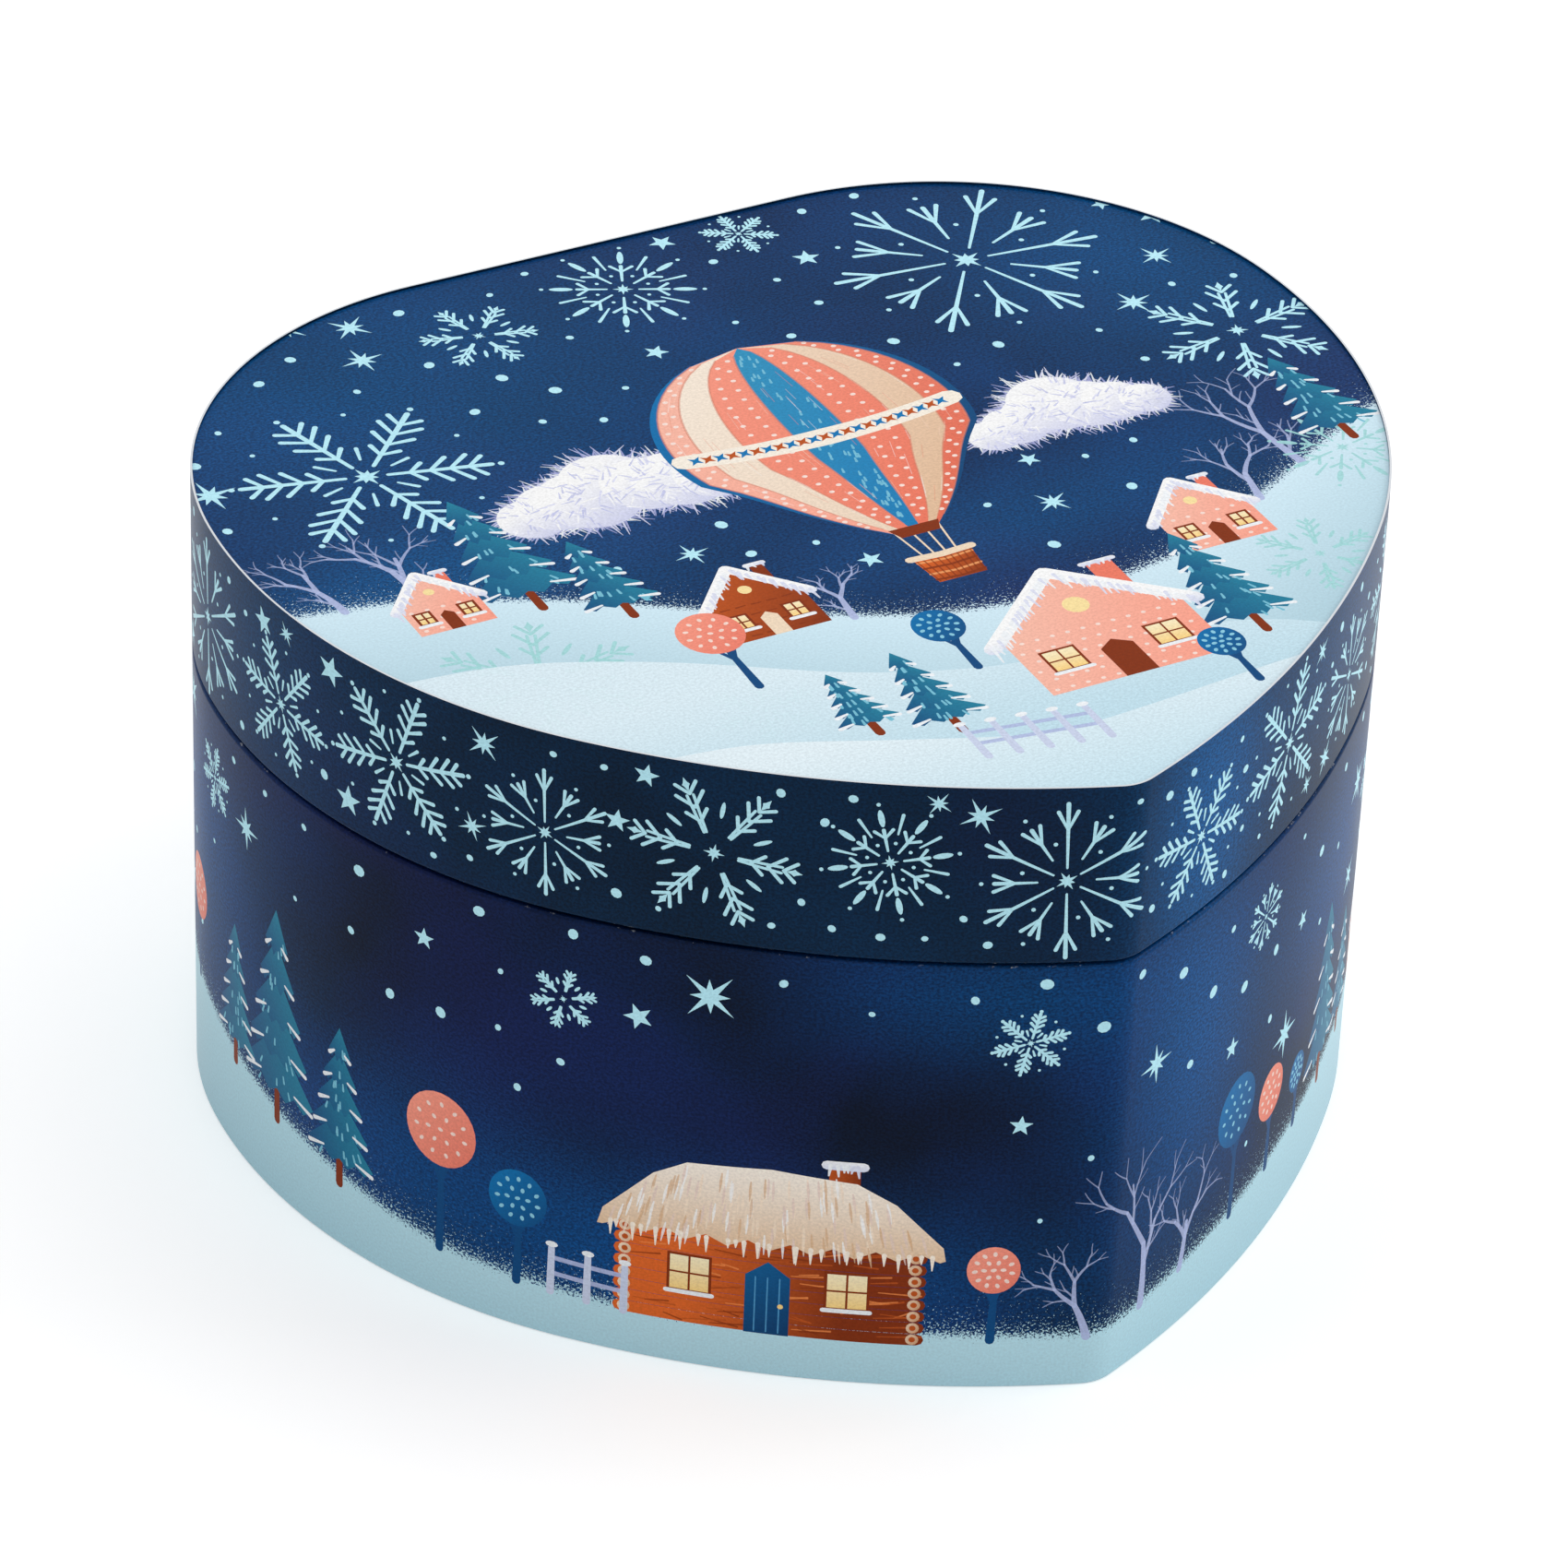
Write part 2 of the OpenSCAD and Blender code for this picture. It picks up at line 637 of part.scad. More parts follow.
module ratchet_wheel() {
  teeth = 14;
  r = 4.4;
  color("#9aa1a8") at(0, ratchet_y, wind_z) rotate([90, 0, 0]) linear_extrude(ratchet_t) difference() {
    polygon([for (i = [0 : teeth - 1]) each [r * dir(i * 360 / teeth),
      (r - 1) * dir((i + 0.15) * 360 / teeth)]]);
    circle(d = wind_shaft_d);
  }
}
module ratchet_click() {
  y = drive_disc_y + drive_disc_t + ratchet_t;
  color("#9aa1a8") at(0, y, wind_z) rotate([0, 20, 0]) difference() {
    union() {
      at(7, 0, 0) rod_y(3, ratchet_t);
      at(4.7, -ratchet_t, -0.6) cube([2.5, ratchet_t, 1.2]);
    }
    at(7, 1, 0) rod_y(1, eps);
  }
}
key_y = back_y + key_stand;
module winding_shaft() {
  start = key_y + key_t + 1;
  color("#c9ccd1") at(0, start, wind_z) rod_y(wind_shaft_d, start - (barrel_front - barrel_l) + 1);
}
module winding_key() {
  hub_d = wind_shaft_d + 3.4;
  hub_l = key_stand - 1.2;
  lobe = key_h / 2;
  color("#d8b25a") difference() {
    union() {
      at(0, key_y + key_t + 0.8, wind_z) rod_y(hub_d, hub_l + key_t);
      for (side = [-1, 1]) at(side * (key_w / 2 - lobe), key_y + key_t, wind_z) rod_y(key_h, key_t);
      at(-(key_w / 2 - lobe), key_y, wind_z - 2.2) cube([key_w - 2 * lobe, key_t, 4.4]);
    }
    for (side = [-1, 1]) at(side * (key_w / 2 - lobe), key_y + key_t + 1, wind_z) rod_y(4, key_t + 2);
    at(0, key_y + key_t + 2, wind_z) rod_y(wind_shaft_d, hub_l + key_t + 4);
  }
}

// ---- Cylinder ----
module cylinder_bridge() {
  foot_t = 1.2;
  foot_h = 3;
  side_x = barrel_d / 2 + 1;
  front = cyl_y - bridge_w / 2;
  reach = plate_front - front;
  color("#b9bdc2") difference() {
    union() {
      at(-bridge_w / 2, front, upper_bridge_z) cube([bridge_w, reach, bridge_t]);
      at(-bridge_w / 2, plate_front - foot_t, upper_bridge_z) cube([bridge_w, foot_t, foot_h]);
      at(-bridge_w / 2, front, lower_bridge_z)
        cube([side_x + bridge_w, drive_tip_y - air - front, bridge_t]);
      at(side_x, front, lower_bridge_z) cube([bridge_w / 2, reach, bridge_t]);
    }
    at(0, cyl_y, lower_bridge_z - 1)
      cylinder(d = arbor_d + 2 * fit, h = upper_bridge_z - lower_bridge_z + bridge_t + 2);
  }
}
module cylinder_barrel() {
  color("#d8b25a") at(0, cyl_y, cylinder_z) difference() {
    cylinder(d = cylinder_d, h = cylinder_l);
    at(0, 0, -1) cylinder(d = arbor_d, h = cylinder_l + 2);
  }
}
module cylinder_pins() {
  per_note = 3;
  color("#c9ccd1") at(0, cyl_y, cylinder_z + 0.6) for (n = [0 : notes - 1], k = [0 : per_note - 1])
    rotate([0, 0, 25 + (n * 67 + k * 113 + n * k * 29) % 310])
      at(cylinder_d / 2 - 0.6, 0, (n + 0.5) * note_pitch) rotate([0, 90, 0])
        cylinder(d = 0.35, h = 0.6 + pin_h, $fn = 8);
}
module cylinder_arbor() {
  top = disc_z;
  color("#c9ccd1") at(0, cyl_y, arbor_foot) cylinder(d = arbor_d, h = top - arbor_foot);
}
module cylinder_pinion() {
  color("#d8b25a") at(0, cyl_y, pinion_z) difference() {
    union() {
      rotate([0, 0, 90]) spur(drive_module, pinion_teeth, pinion_l, 0.36);
      at(0, 0, pinion_l) cylinder(d = arbor_d + 2, h = cylinder_z - pinion_z - pinion_l);
    }
    at(0, 0, -1) cylinder(d = arbor_d, h = pinion_l + 4);
  }
}
module cylinder_wheel() {
  color("#d8b25a") at(0, cyl_y, cyl_wheel_z) difference() {
    union() {
      rotate([0, 0, 180]) spur(train_module, train_teeth, wheel_t, 0.2);
      at(0, 0, cylinder_z + cylinder_l - cyl_wheel_z) cylinder(d = arbor_d + 2, h = 1);
    }
    at(0, 0, -1) cylinder(d = arbor_d, h = wheel_t + 3);
  }
}
comb_h = notes * note_pitch;
comb_screw_d = 2;
comb_screw_l = 3;
module comb() {
  slot = note_pitch * 0.3;
  color("#aeb6bf") at(comb_tip_x, comb_y, comb_z) difference() {
    cube([comb_end_x - comb_tip_x, comb_t, comb_h]);
    for (i = [1 : notes - 1]) at(-1, -1, i * note_pitch - slot / 2)
      cube([comb_root_x - comb_tip_x - 1.5 + i * 0.1 + 1, comb_t + 2, slot]);
    for (z = [0.25, 0.75]) at(comb_root_x - comb_tip_x + comb_heel / 2, comb_t + 1, comb_h * z)
      rod_y(comb_screw_d, comb_t + 2);
  }
}
// The block that carries the comb out from the bedplate
module comb_plate() {
  y0 = comb_y + comb_t;
  color("#b9bdc2") at(comb_root_x, y0, comb_z) difference() {
    cube([comb_heel, plate_front - y0, comb_h]);
    for (z = [0.25, 0.75]) at(comb_heel / 2, comb_screw_l + 1, comb_h * z)
      rod_y(comb_screw_d, comb_screw_l + 2);
  }
}
module comb_screws() {
  color("#c9ccd1") for (z = [0.25, 0.75])
    at(comb_root_x + comb_heel / 2, comb_y, comb_z + comb_h * z) {
      rod_y(1.7 * comb_screw_d, 1.1);
      at(0, comb_t + comb_screw_l, 0) rod_y(comb_screw_d, comb_t + comb_screw_l);
    }
}

// ---- Governor ----
gov_top = cyl_wheel_z + wheel_t + 0.3;
gov_low = worm_z - worm_wheel_t / 2 - 0.9;
module governor_frame() {
  arm_t = 1;
  arm_w = 4;
  block = 4;
  color("#b9bdc2") difference() {
    union() {
      for (z = [gov_low - arm_t, gov_top]) at(gov_x - arm_w / 2, cyl_y - 2, z)
        cube([arm_w, plate_front - cyl_y + 2, arm_t]);
      for (y = worm_post_ys) at(worm_x - block / 2, y, worm_z - block / 2)
        cube([block, worm_post_t, block]);
      at(worm_x - block / 2 - worm_post_t, worm_post_ys[0], worm_z - block / 2)
        cube([worm_post_t + eps, plate_front - worm_post_ys[0], block]);
    }
    at(gov_x, cyl_y, gov_low - 2) cylinder(d = governor_shaft_d + 2 * fit, h = gov_top - gov_low + 6);
    at(worm_x, worm_post_ys[1] + worm_post_t + 1, worm_z)
      rod_y(governor_shaft_d + 2 * fit, worm_post_ys[1] - worm_post_ys[0] + worm_post_t + 2);
  }
}
module governor_wheel() {
  lead_angle = atan(worm_lead / (2 * PI * worm_r));
  tooth_w = worm_lead * 0.34;
  root = worm_wheel_r - 0.55;
  tip = worm_wheel_r + 0.4;
  color("#d8b25a") at(gov_x, cyl_y, 0) {
    at(0, 0, cyl_wheel_z) rotate([0, 0, 180 / governor_pinion_teeth])
      spur(train_module, governor_pinion_teeth, wheel_t, 0.2);
    at(0, 0, worm_z - worm_wheel_t / 2) cylinder(r = root, h = worm_wheel_t);
    for (i = [0 : worm_wheel_teeth - 1]) rotate([0, 0, (i + 0.5) * 360 / worm_wheel_teeth + 180])
      at(0, 0, worm_z) rotate([lead_angle, 0, 0])
        at(root - 0.6, -tooth_w / 2, -worm_wheel_t * 0.45)
          cube([tip - root + 0.6, tooth_w, worm_wheel_t * 0.9]);
    at(0, 0, gov_low - 1) cylinder(d = governor_shaft_d, h = gov_top - gov_low + 2);
  }
}
// The worm's thread: one polyhedron swept round the shaft, with a small trapezium as its section
thread_steps = 20;
thread_turns = 4;
function thread_ring(i) = let (
  a = i * 360 / thread_steps,
  y = -thread_turns * worm_lead / 2 + i * worm_lead / thread_steps,
  low = worm_root - 0.15,
  half = worm_lead * 0.16)
  [for (p = [[low, -half * 1.5], [worm_tip, -half], [worm_tip, half], [low, half * 1.5]])
    [p.x * cos(a), y + p.y, p.x * sin(a)]];
module thread() {
  rings = thread_turns * thread_steps;
  polyhedron(
    points = [for (i = [0 : rings]) each thread_ring(i)],
    faces = concat([[0, 1, 2, 3]],
      [for (i = [0 : rings - 1], j = [0 : 3]) let (n = (j + 1) % 4)
        [4 * i + j, 4 * i + 4 + j, 4 * i + 4 + n, 4 * i + n]],
      [[4 * rings + 3, 4 * rings + 2, 4 * rings + 1, 4 * rings]]));
}
module worm_shaft() {
  front = worm_y0;
  color("#c9ccd1") at(worm_x, 0, worm_z) {
    at(0, worm_post_ys[1] + worm_post_t, 0)
      rod_y(governor_shaft_d, worm_post_ys[1] + worm_post_t - front);
    at(0, cyl_y + worm_l / 2, 0) rod_y(2 * worm_root, worm_l);
    at(0, cyl_y, 0) thread();
  }
}
drum_y = worm_post_ys[0] - 0.3;
worm_y0 = drum_y - drum_l - 3.4;
module governor_fan() {
  vane_w = 2.6;
  color("#e9e4d6") at(worm_x, 0, worm_z) difference() {
    union() {
      at(0, drum_y, 0) rod_y(drum_d, drum_l);
      at(0, drum_y - drum_l, 0) rod_y(2.4, vane_w + 0.6);
      for (a = [0, 180]) rotate([0, a, 0]) at(0.6, drum_y - drum_l - 0.3 - vane_w, -0.3)
        cube([fan_r - 0.6, vane_w, 0.6]);
    }
    at(0, drum_y + 1, 0) rod_y(governor_shaft_d, drum_l + vane_w + 3);
  }
}
module stop_rod() {
  pad_y = drum_y - drum_l / 2;
  color("#c9ccd1") union() {
    at(rod_x, rod_y, lug_z - 0.6) cylinder(d = rod_d, h = rod_top - lug_z + 0.6);
    at(rod_x - rod_d / 2, pad_y - rod_d / 2, knee_z) cube([rod_d, rod_y - pad_y + rod_d, rod_d]);
    at(rod_x - rod_d / 2, pad_y - rod_d / 2, pad_z0) cube([rod_d, rod_d, knee_z - pad_z0 + rod_d]);
  }
}

// ---- Turning figure ----
module turning_disc() {
  color("#ffffff") at(0, cyl_y, disc_z) cylinder(d = disc_d, h = disc_t);
}
skirt_h = figure_h * 0.42;
torso_h = figure_h * 0.22;
head_z = disc_top + skirt_h + torso_h + head_d * 0.42;
module figure_body() {
  waist = skirt_d * 0.24;
  color("#ffbfa8") at(0, cyl_y, disc_top) {
    rotate_extrude() polygon([[0, 0], [skirt_d / 2, 0], [skirt_d / 2, 1], [skirt_d * 0.4, skirt_h * 0.45],
      [waist, skirt_h], [waist * 1.25, skirt_h + torso_h * 0.6], [waist * 0.7, skirt_h + torso_h],
      [0, skirt_h + torso_h]]);
    for (side = [-1, 1]) at(side * waist, 0, skirt_h + torso_h * 0.7) rotate([0, side * 118, 0])
      cylinder(d1 = 2.4, d2 = 1.8, h = skirt_d * 0.3, $fn = 24);
  }
}
module figure_head() {
  color("#f4d3bd") at(0, cyl_y, head_z) difference() {
    sphere(d = head_d, $fn = 48);
    at(-head_d, -head_d, -head_d - head_d * 0.42) cube([2 * head_d, 2 * head_d, head_d]);
  }
}
module figure_hat() {
  top = disc_top + figure_h;
  color("#2f7fb0") at(0, cyl_y, head_z) difference() {
    union() {
      sphere(d = head_d + 1.6, $fn = 48);
      at(0, 0, head_d / 2) cylinder(d = 1.6, h = top - head_z - head_d / 2 - 0.8);
      at(0, 0, top - head_z - 1.3) sphere(d = 2.6, $fn = 32);
    }
    sphere(d = head_d, $fn = 48);
    at(-head_d, -head_d, -2 * head_d + 0.9) cube([2 * head_d, 2 * head_d, 2 * head_d]);
  }
}

underside_sheet();
base_wrap();
base_board();
base_floor();
base_lining();
floor_pad();
left_divider();
right_divider();
ring_cushion();
movement_housing();
stage_deck();
stage_collar();
key_escutcheon();
hinge_base_leaves();
hinge_lid_leaves();
hinge_pins();
hinge_base_screws();
hinge_lid_screws();
lid_board();
lid_wrap();
lid_top_board();
lid_top_sheet();
lid_lining();
lid_ceiling();
lid_mirror();
mirror_frame();
lid_stop_block();
ribbon_stay();
bedplate();
bedplate_screws();
spring_housing();
mainspring();
drive_wheel();
winding_shaft();
ratchet_wheel();
ratchet_click();
winding_key();
cylinder_bridge();
cylinder_barrel();
cylinder_pins();
cylinder_arbor();
cylinder_pinion();
cylinder_wheel();
comb();
comb_plate();
comb_screws();
governor_frame();
governor_wheel();
worm_shaft();
governor_fan();
stop_rod();
turning_disc();
figure_body();
figure_head();
figure_hat();
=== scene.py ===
import math
import random

import bmesh
import bpy
import numpy as np
from mathutils import Matrix, Vector, geometry


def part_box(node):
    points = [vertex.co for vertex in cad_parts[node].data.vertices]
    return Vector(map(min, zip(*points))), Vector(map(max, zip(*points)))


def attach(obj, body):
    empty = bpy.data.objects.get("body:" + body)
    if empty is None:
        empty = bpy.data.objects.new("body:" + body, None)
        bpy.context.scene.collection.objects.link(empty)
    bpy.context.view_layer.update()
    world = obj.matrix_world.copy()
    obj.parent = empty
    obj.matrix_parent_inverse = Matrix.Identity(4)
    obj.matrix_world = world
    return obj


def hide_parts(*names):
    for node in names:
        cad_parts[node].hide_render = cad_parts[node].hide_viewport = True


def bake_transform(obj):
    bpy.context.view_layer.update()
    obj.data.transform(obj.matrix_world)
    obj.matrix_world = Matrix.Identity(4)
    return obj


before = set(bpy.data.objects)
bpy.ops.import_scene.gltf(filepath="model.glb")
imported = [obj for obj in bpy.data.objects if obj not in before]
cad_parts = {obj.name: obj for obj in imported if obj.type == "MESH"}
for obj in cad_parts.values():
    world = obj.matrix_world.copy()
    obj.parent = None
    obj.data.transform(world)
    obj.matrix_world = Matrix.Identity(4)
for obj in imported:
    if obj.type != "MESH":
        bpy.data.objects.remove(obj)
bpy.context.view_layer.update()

# ---- Base wrap ----
# Printed paper under a clear film, glued round the base's wall board and turned in over the
# rim and under the foot. The print is one winter night that runs right round the case.

MM = 0.001
paper = 0.3
UV_MM = 100    # a print's UV map counts in hundreds of millimetres
rim_z = 69.1    # the base's rim

# The heart's outline, from the tip round to the hinge side: centre, radius, start and end angle
heart_arcs = [
    ((0, -69.466), 6.4, -90, -69.909),
    ((-48.641, 63.517), 148, -69.909, -42.3),
    ((-0.565, 19.772), 83, -42.3, 7.1),
    ((29.9, 23.566), 52.3, 7.1, 90),
]
back_half = 29.9
back_y = 75.866
arc_ends = [0]
for _, radius, start, end in heart_arcs:
    arc_ends.append(arc_ends[-1] + math.radians(end - start) * radius)
half_round = arc_ends[-1] + back_half


def outline(u):
    """The point and the outward direction at a distance u round the heart from its tip, + to the right."""
    away = np.minimum(np.abs(np.asarray(u, float)), half_round)
    point = np.stack([back_half - (away - arc_ends[-1]), np.full(away.shape, back_y)], -1)
    out = np.stack([np.zeros(away.shape), np.ones(away.shape)], -1)
    for (centre, r, start, end), low, high in zip(heart_arcs, arc_ends, arc_ends[1:]):
        here = (away >= low) & (away <= high)
        turn = np.radians(start + (end - start) * (away[here] - low) / (high - low))
        out[here] = np.stack([np.cos(turn), np.sin(turn)], -1)
        point[here] = np.array(centre) + r * out[here]
    flip = np.where(np.asarray(u) < 0, -1.0, 1.0)[..., None] * [1, 0] + [0, 1]
    return point * flip, out * flip


def round_steps(sizes=(6, 46, 46, 48, 6)):
    """Distances round the heart at which its curve is cut into facets."""
    stops = arc_ends + [half_round]
    half = []
    for low, high, n in zip(stops, stops[1:], sizes):
        half += list(np.linspace(low, high, n, endpoint=False))
    return np.array([-half_round] + [-u for u in reversed(half[1:])] + half + [half_round])


def linear(colour):
    """An sRGB hex colour as linear light."""
    parts = [int(colour[i:i + 2], 16) / 255 for i in (1, 3, 5)]
    return tuple(c / 12.92 if c <= 0.04045 else ((c + 0.055) / 1.055) ** 2.4 for c in parts) + (1.0,)


MINT = "#bff2ff"
WHITE = "#f4f8fc"
PURE_WHITE = "#ffffff"
LILAC = "#b4bfe6"
CREAM = "#f6dfc4"
CORAL = "#ffa28c"
PALE_CORAL = "#fdc2ae"
RUST = "#bf551f"
ORANGE = "#e2692a"
DARK_RUST = "#86330f"
BLUE = "#0c78b8"
DEEP_BLUE = "#0b4a80"
TEAL = "#2a8ea8"
LAMPLIGHT = "#ffd98a"


def rectangle(x0, y0, x1, y1):
    """The corners of an upright rectangle, from its lower left one."""
    return [(x0, y0), (x1, y0), (x1, y1), (x0, y1)]


def gable(x, y, half, eaves, ridge):
    """A wall's outline about x, standing at y, with a pointed top."""
    return [(x - half, y), (x + half, y), (x + half, eaves), (x, ridge), (x - half, eaves)]


class Art:
    """Flat shapes of ink on the unrolled sheet, in millimetres, each laid over those before it."""

    def __init__(self):
        self.shapes = []

    def lay(self, points, ink, fade=None, cover=1.0):
        """A filled outline. Two inks fade from one point of fade to the other."""
        first, last = (ink, ink) if isinstance(ink, str) else ink
        points = np.array(points, float)
        x, y = points.T
        if x @ np.roll(y, -1) < y @ np.roll(x, -1):
            points = points[::-1]
        self.shapes.append((points, linear(first)[:3], linear(last)[:3], fade, cover))

    def stroke(self, path, widths, ink, cover=1.0, fade=None):
        """A brush stroke along a path, with round ends and one width, or several that it passes through."""
        path, widths = np.array(path, float), np.atleast_1d(widths)
        way = np.gradient(path, axis=0)
        way /= np.linalg.norm(way, axis=1)[:, None] + 1e-9
        side = np.stack([-way[:, 1], way[:, 0]], 1)
        w = np.interp(np.linspace(0, 1, len(path)), np.linspace(0, 1, len(widths)), widths) / 2
        bends = [(math.cos(a), math.sin(a)) for a in (0.8, 1.57, 2.34)]
        cap = [path[-1] + w[-1] * (c * side[-1] + s * way[-1]) for c, s in bends]
        heel = [path[0] - w[0] * (c * side[0] + s * way[0]) for c, s in bends]
        right = (path - side * w[:, None])[::-1]
        self.lay([*(path + side * w[:, None]), *cap, *right, *heel], ink, fade, cover)

    def oval(self, centre, rx, ry, ink, turn=0.0, sides=12, cover=1.0, fade=None):
        """An oval with this many sides."""
        c, s = math.cos(turn), math.sin(turn)
        steps = np.linspace(0, 2 * math.pi, sides, endpoint=False)
        ring = [(rx * math.cos(a), ry * math.sin(a)) for a in steps]
        self.lay([(centre[0] + x * c - y * s, centre[1] + x * s + y * c) for x, y in ring], ink, fade, cover)

    def star(self, centre, radii, waist, ink=MINT, turn=0.0, cover=1.0):
        """A star whose rays have these radii in turn, and meet at the waist."""
        points = []
        for i, r in enumerate(radii):
            for radius, a in ((r, i), (waist, i + 0.5)):
                a = turn + a * 2 * math.pi / len(radii)
                points.append((centre[0] + radius * math.cos(a), centre[1] + radius * math.sin(a)))
        self.lay(points, ink, cover=cover)

    def snowflake(self, centre, r, kind, turn=0.0, ink=MINT, cover=1.0):
        """A snowflake: kind 0 fern, 1 petal, 2 needle, 3 crystal. Places are shares of r, widths of w."""
        w = 0.3 + 0.026 * r

        def at(share, a):
            return centre[0] + share * r * math.cos(a), centre[1] + share * r * math.sin(a)

        def ray(a, start, end, *widths):
            self.stroke([at(start, a), at(end, a)], [width * w for width in widths], ink, cover)

        def barbs(share, a, spread, length, *widths):
            x, y = at(share, a)
            for b in (a - spread, a + spread):
                tip = (x + length * r * math.cos(b), y + length * r * math.sin(b))
                self.stroke([(x, y), tip], [width * w for width in widths], ink, cover)

        def dot(share, a, size, sides=8):
            self.oval(at(share, a), size * w, size * w, ink, sides=sides, cover=cover)

        arms = (6, 8, 12, 6)[kind]
        for i in range(arms):
            a = turn + i * 2 * math.pi / arms
            between = a + math.pi / arms
            if kind == 0:
                ray(a, 0.16, 0.93, 0.8, 1.1)
                for share, length in ((0.32, 0.15), (0.47, 0.21), (0.62, 0.22), (0.76, 0.17)):
                    barbs(share, a, 0.86, length, 0.7, 1)
                dot(1, a, 0.6, 12)
                ray(between, 0.24, 0.4, 0.5, 0.8)
                dot(0.88, between, 0.5)
            elif kind == 1:
                ray(a, 0.2, 0.56, 0.6, 1)
                self.oval(at(0.76, a), 0.15 * r, 0.8 * w, ink, a, cover=cover)
                dot(1, a, 0.55)
                barbs(0.42, a, 0.8, 0.19, 0.6, 0.9)
                ray(between, 0.5, 0.84, 0.5, 0.9)
                dot(0.34, between, 0.5)
            elif kind == 2:
                long = i % 2 == 0
                ray(a, 0.17 if long else 0.32, 1.0 if long else 0.78, 0.5, 1)
                barbs(0.66 if long else 0.55, a, 0.42, 0.26, 0.5, 0.9)
                dot(0.5 if long else 0.92, between if long else a, 0.5)
            else:
                for side in (-0.05, 0.05):
                    ray(a + side, 0.3, 0.82, 0.7)
                for share, length in ((0.45, 0.2), (0.65, 0.26), (0.84, 0.2)):
                    barbs(share, a, 0.72, length, 0.8, 0.9)
                self.star(at(0.97, a), (0.1 * r, 0.05 * r) * 2, 0.04 * r, ink, a, cover)
                self.oval(at(0.62, between), 0.12 * r, 0.55 * w, ink, between, cover=cover)
        self.star(centre, (0.13 * r, 0.09 * r) * 4, 0.05 * r, ink, turn, cover)

    def night(self, spots, seed, sizes, largest):
        """Drifting flakes and little stars at these places."""
        pick = random.Random(seed)
        for x, y in spots:
            kind = pick.random()
            if kind < 0.72:
                r = pick.uniform(*sizes)
                self.oval((x, y), r, r * 0.88, MINT, pick.uniform(0, 3), 10)
            elif kind < 0.87:
                r = pick.uniform(1.6, 2.4)
                self.star((x, y), (r,) * 5, r * 0.42, MINT, pick.uniform(0, 1))
            else:
                r = pick.uniform(0.6, 1.0) * largest
                self.star((x, y), (r, r * 0.62) * 4, r * 0.27, MINT, pick.uniform(0, 1))

    def bare_tree(self, foot, height, seed, lean):
        """A leafless tree that forks at random, thinner and paler towards its twigs."""
        pick = random.Random(seed)

        def grow(x, y, a, length, w, depth):
            bend = pick.uniform(-0.25, 0.25)
            path = [(x, y)]
            for i in range(3):
                here = a + bend * i / 2
                x, y = path[-1]
                path.append((x + length / 3 * math.sin(here), y + length / 3 * math.cos(here)))
            self.stroke(path, (w, w * 0.62), LILAC, 0.92 - 0.1 * (4 - depth))
            if depth == 0:
                return
            for side in (-1, 1):
                spread = side * pick.uniform(0.28, 0.55)
                part = pick.choice((2, 3, 3))
                grow(*path[part], a + bend + spread, length * pick.uniform(0.62, 0.82), w * 0.62, depth - 1)
            if pick.random() < 0.5:
                grow(*path[1], a + pick.choice((-1, 1)) * 0.7, length * 0.5, w * 0.45, max(depth - 2, 0))

        grow(foot[0], foot[1] - 0.6, lean, height * 0.34, 0.9 + height * 0.018, 4)

    def fir(self, foot, width, height, seed):
        """A fir in five overlapping skirts of branches, with light needles and snow on the tips."""
        pick = random.Random(seed)
        x, y = foot
        self.stroke([(x, y - 1), (x, y + height * 0.2)], (1.4, 1.2), DARK_RUST)
        for k in range(5):
            low, top = y + height * (0.08 + 0.17 * k), y + height * (0.42 + 0.145 * k)
            half = width / 2 * (1 - 0.17 * k)
            hem = []
            for i in range(9):
                notch = 0.0 if i % 2 else height * 0.045
                hem.append((x + half * (1 - 2 * i / 8), low + notch + abs(1 - i / 4) * height * 0.03))
            self.lay([(x, top), *reversed(hem)], (DEEP_BLUE, TEAL), ((x - half, low), (x + half, top)))
            for i in range(5 - k // 2):
                px = x + pick.uniform(-0.62, 0.62) * half
                py = low + (top - low) * pick.uniform(0.12, 0.45)
                self.stroke([(px, py), (px + (px - x) * 0.12, py - 1.0)], (0.3, 0.42), "#7cc4da")
            for side in (-half, half):
                tip, inner = (x + side * 0.96, low + height * 0.045), (x + side * 0.5, low + height * 0.075)
                self.stroke([tip, inner], (0.7, 0.35), WHITE)

    def round_tree(self, foot, r, height, warm, seed):
        """A clipped round tree, coral if warm or else blue: a pale spotted crown on a thin stem."""
        pick = random.Random(seed)
        inks, spots = ((CORAL, "#ef7d69"), "#fde0d4") if warm else ((BLUE, DEEP_BLUE), "#8fd0e6")
        x, y = foot
        top = y + height
        self.stroke([(x, y - 0.8), (x + 0.3, top - r * 0.3)], (1.3, 0.7), DEEP_BLUE)
        for side in (-1, 1):
            fork = [(x + 0.1, top - 1.5 * r), (x + side * r * 0.4, top - 0.6 * r)]
            self.stroke(fork, (0.7, 0.4), DEEP_BLUE)
        self.oval((x, top), r, r * 1.08, inks, sides=28, fade=((x - r, top + r), (x + r, top - r)))
        for ring, count in ((0.0, 1), (0.36, 6), (0.7, 11)):
            for i in range(count):
                a = i * 2 * math.pi / count + ring * 3
                spot = (x + ring * r * math.cos(a), top + ring * r * 1.06 * math.sin(a))
                self.oval(spot, 0.42, 0.3, spots, a + pick.uniform(-0.4, 0.4), 8)

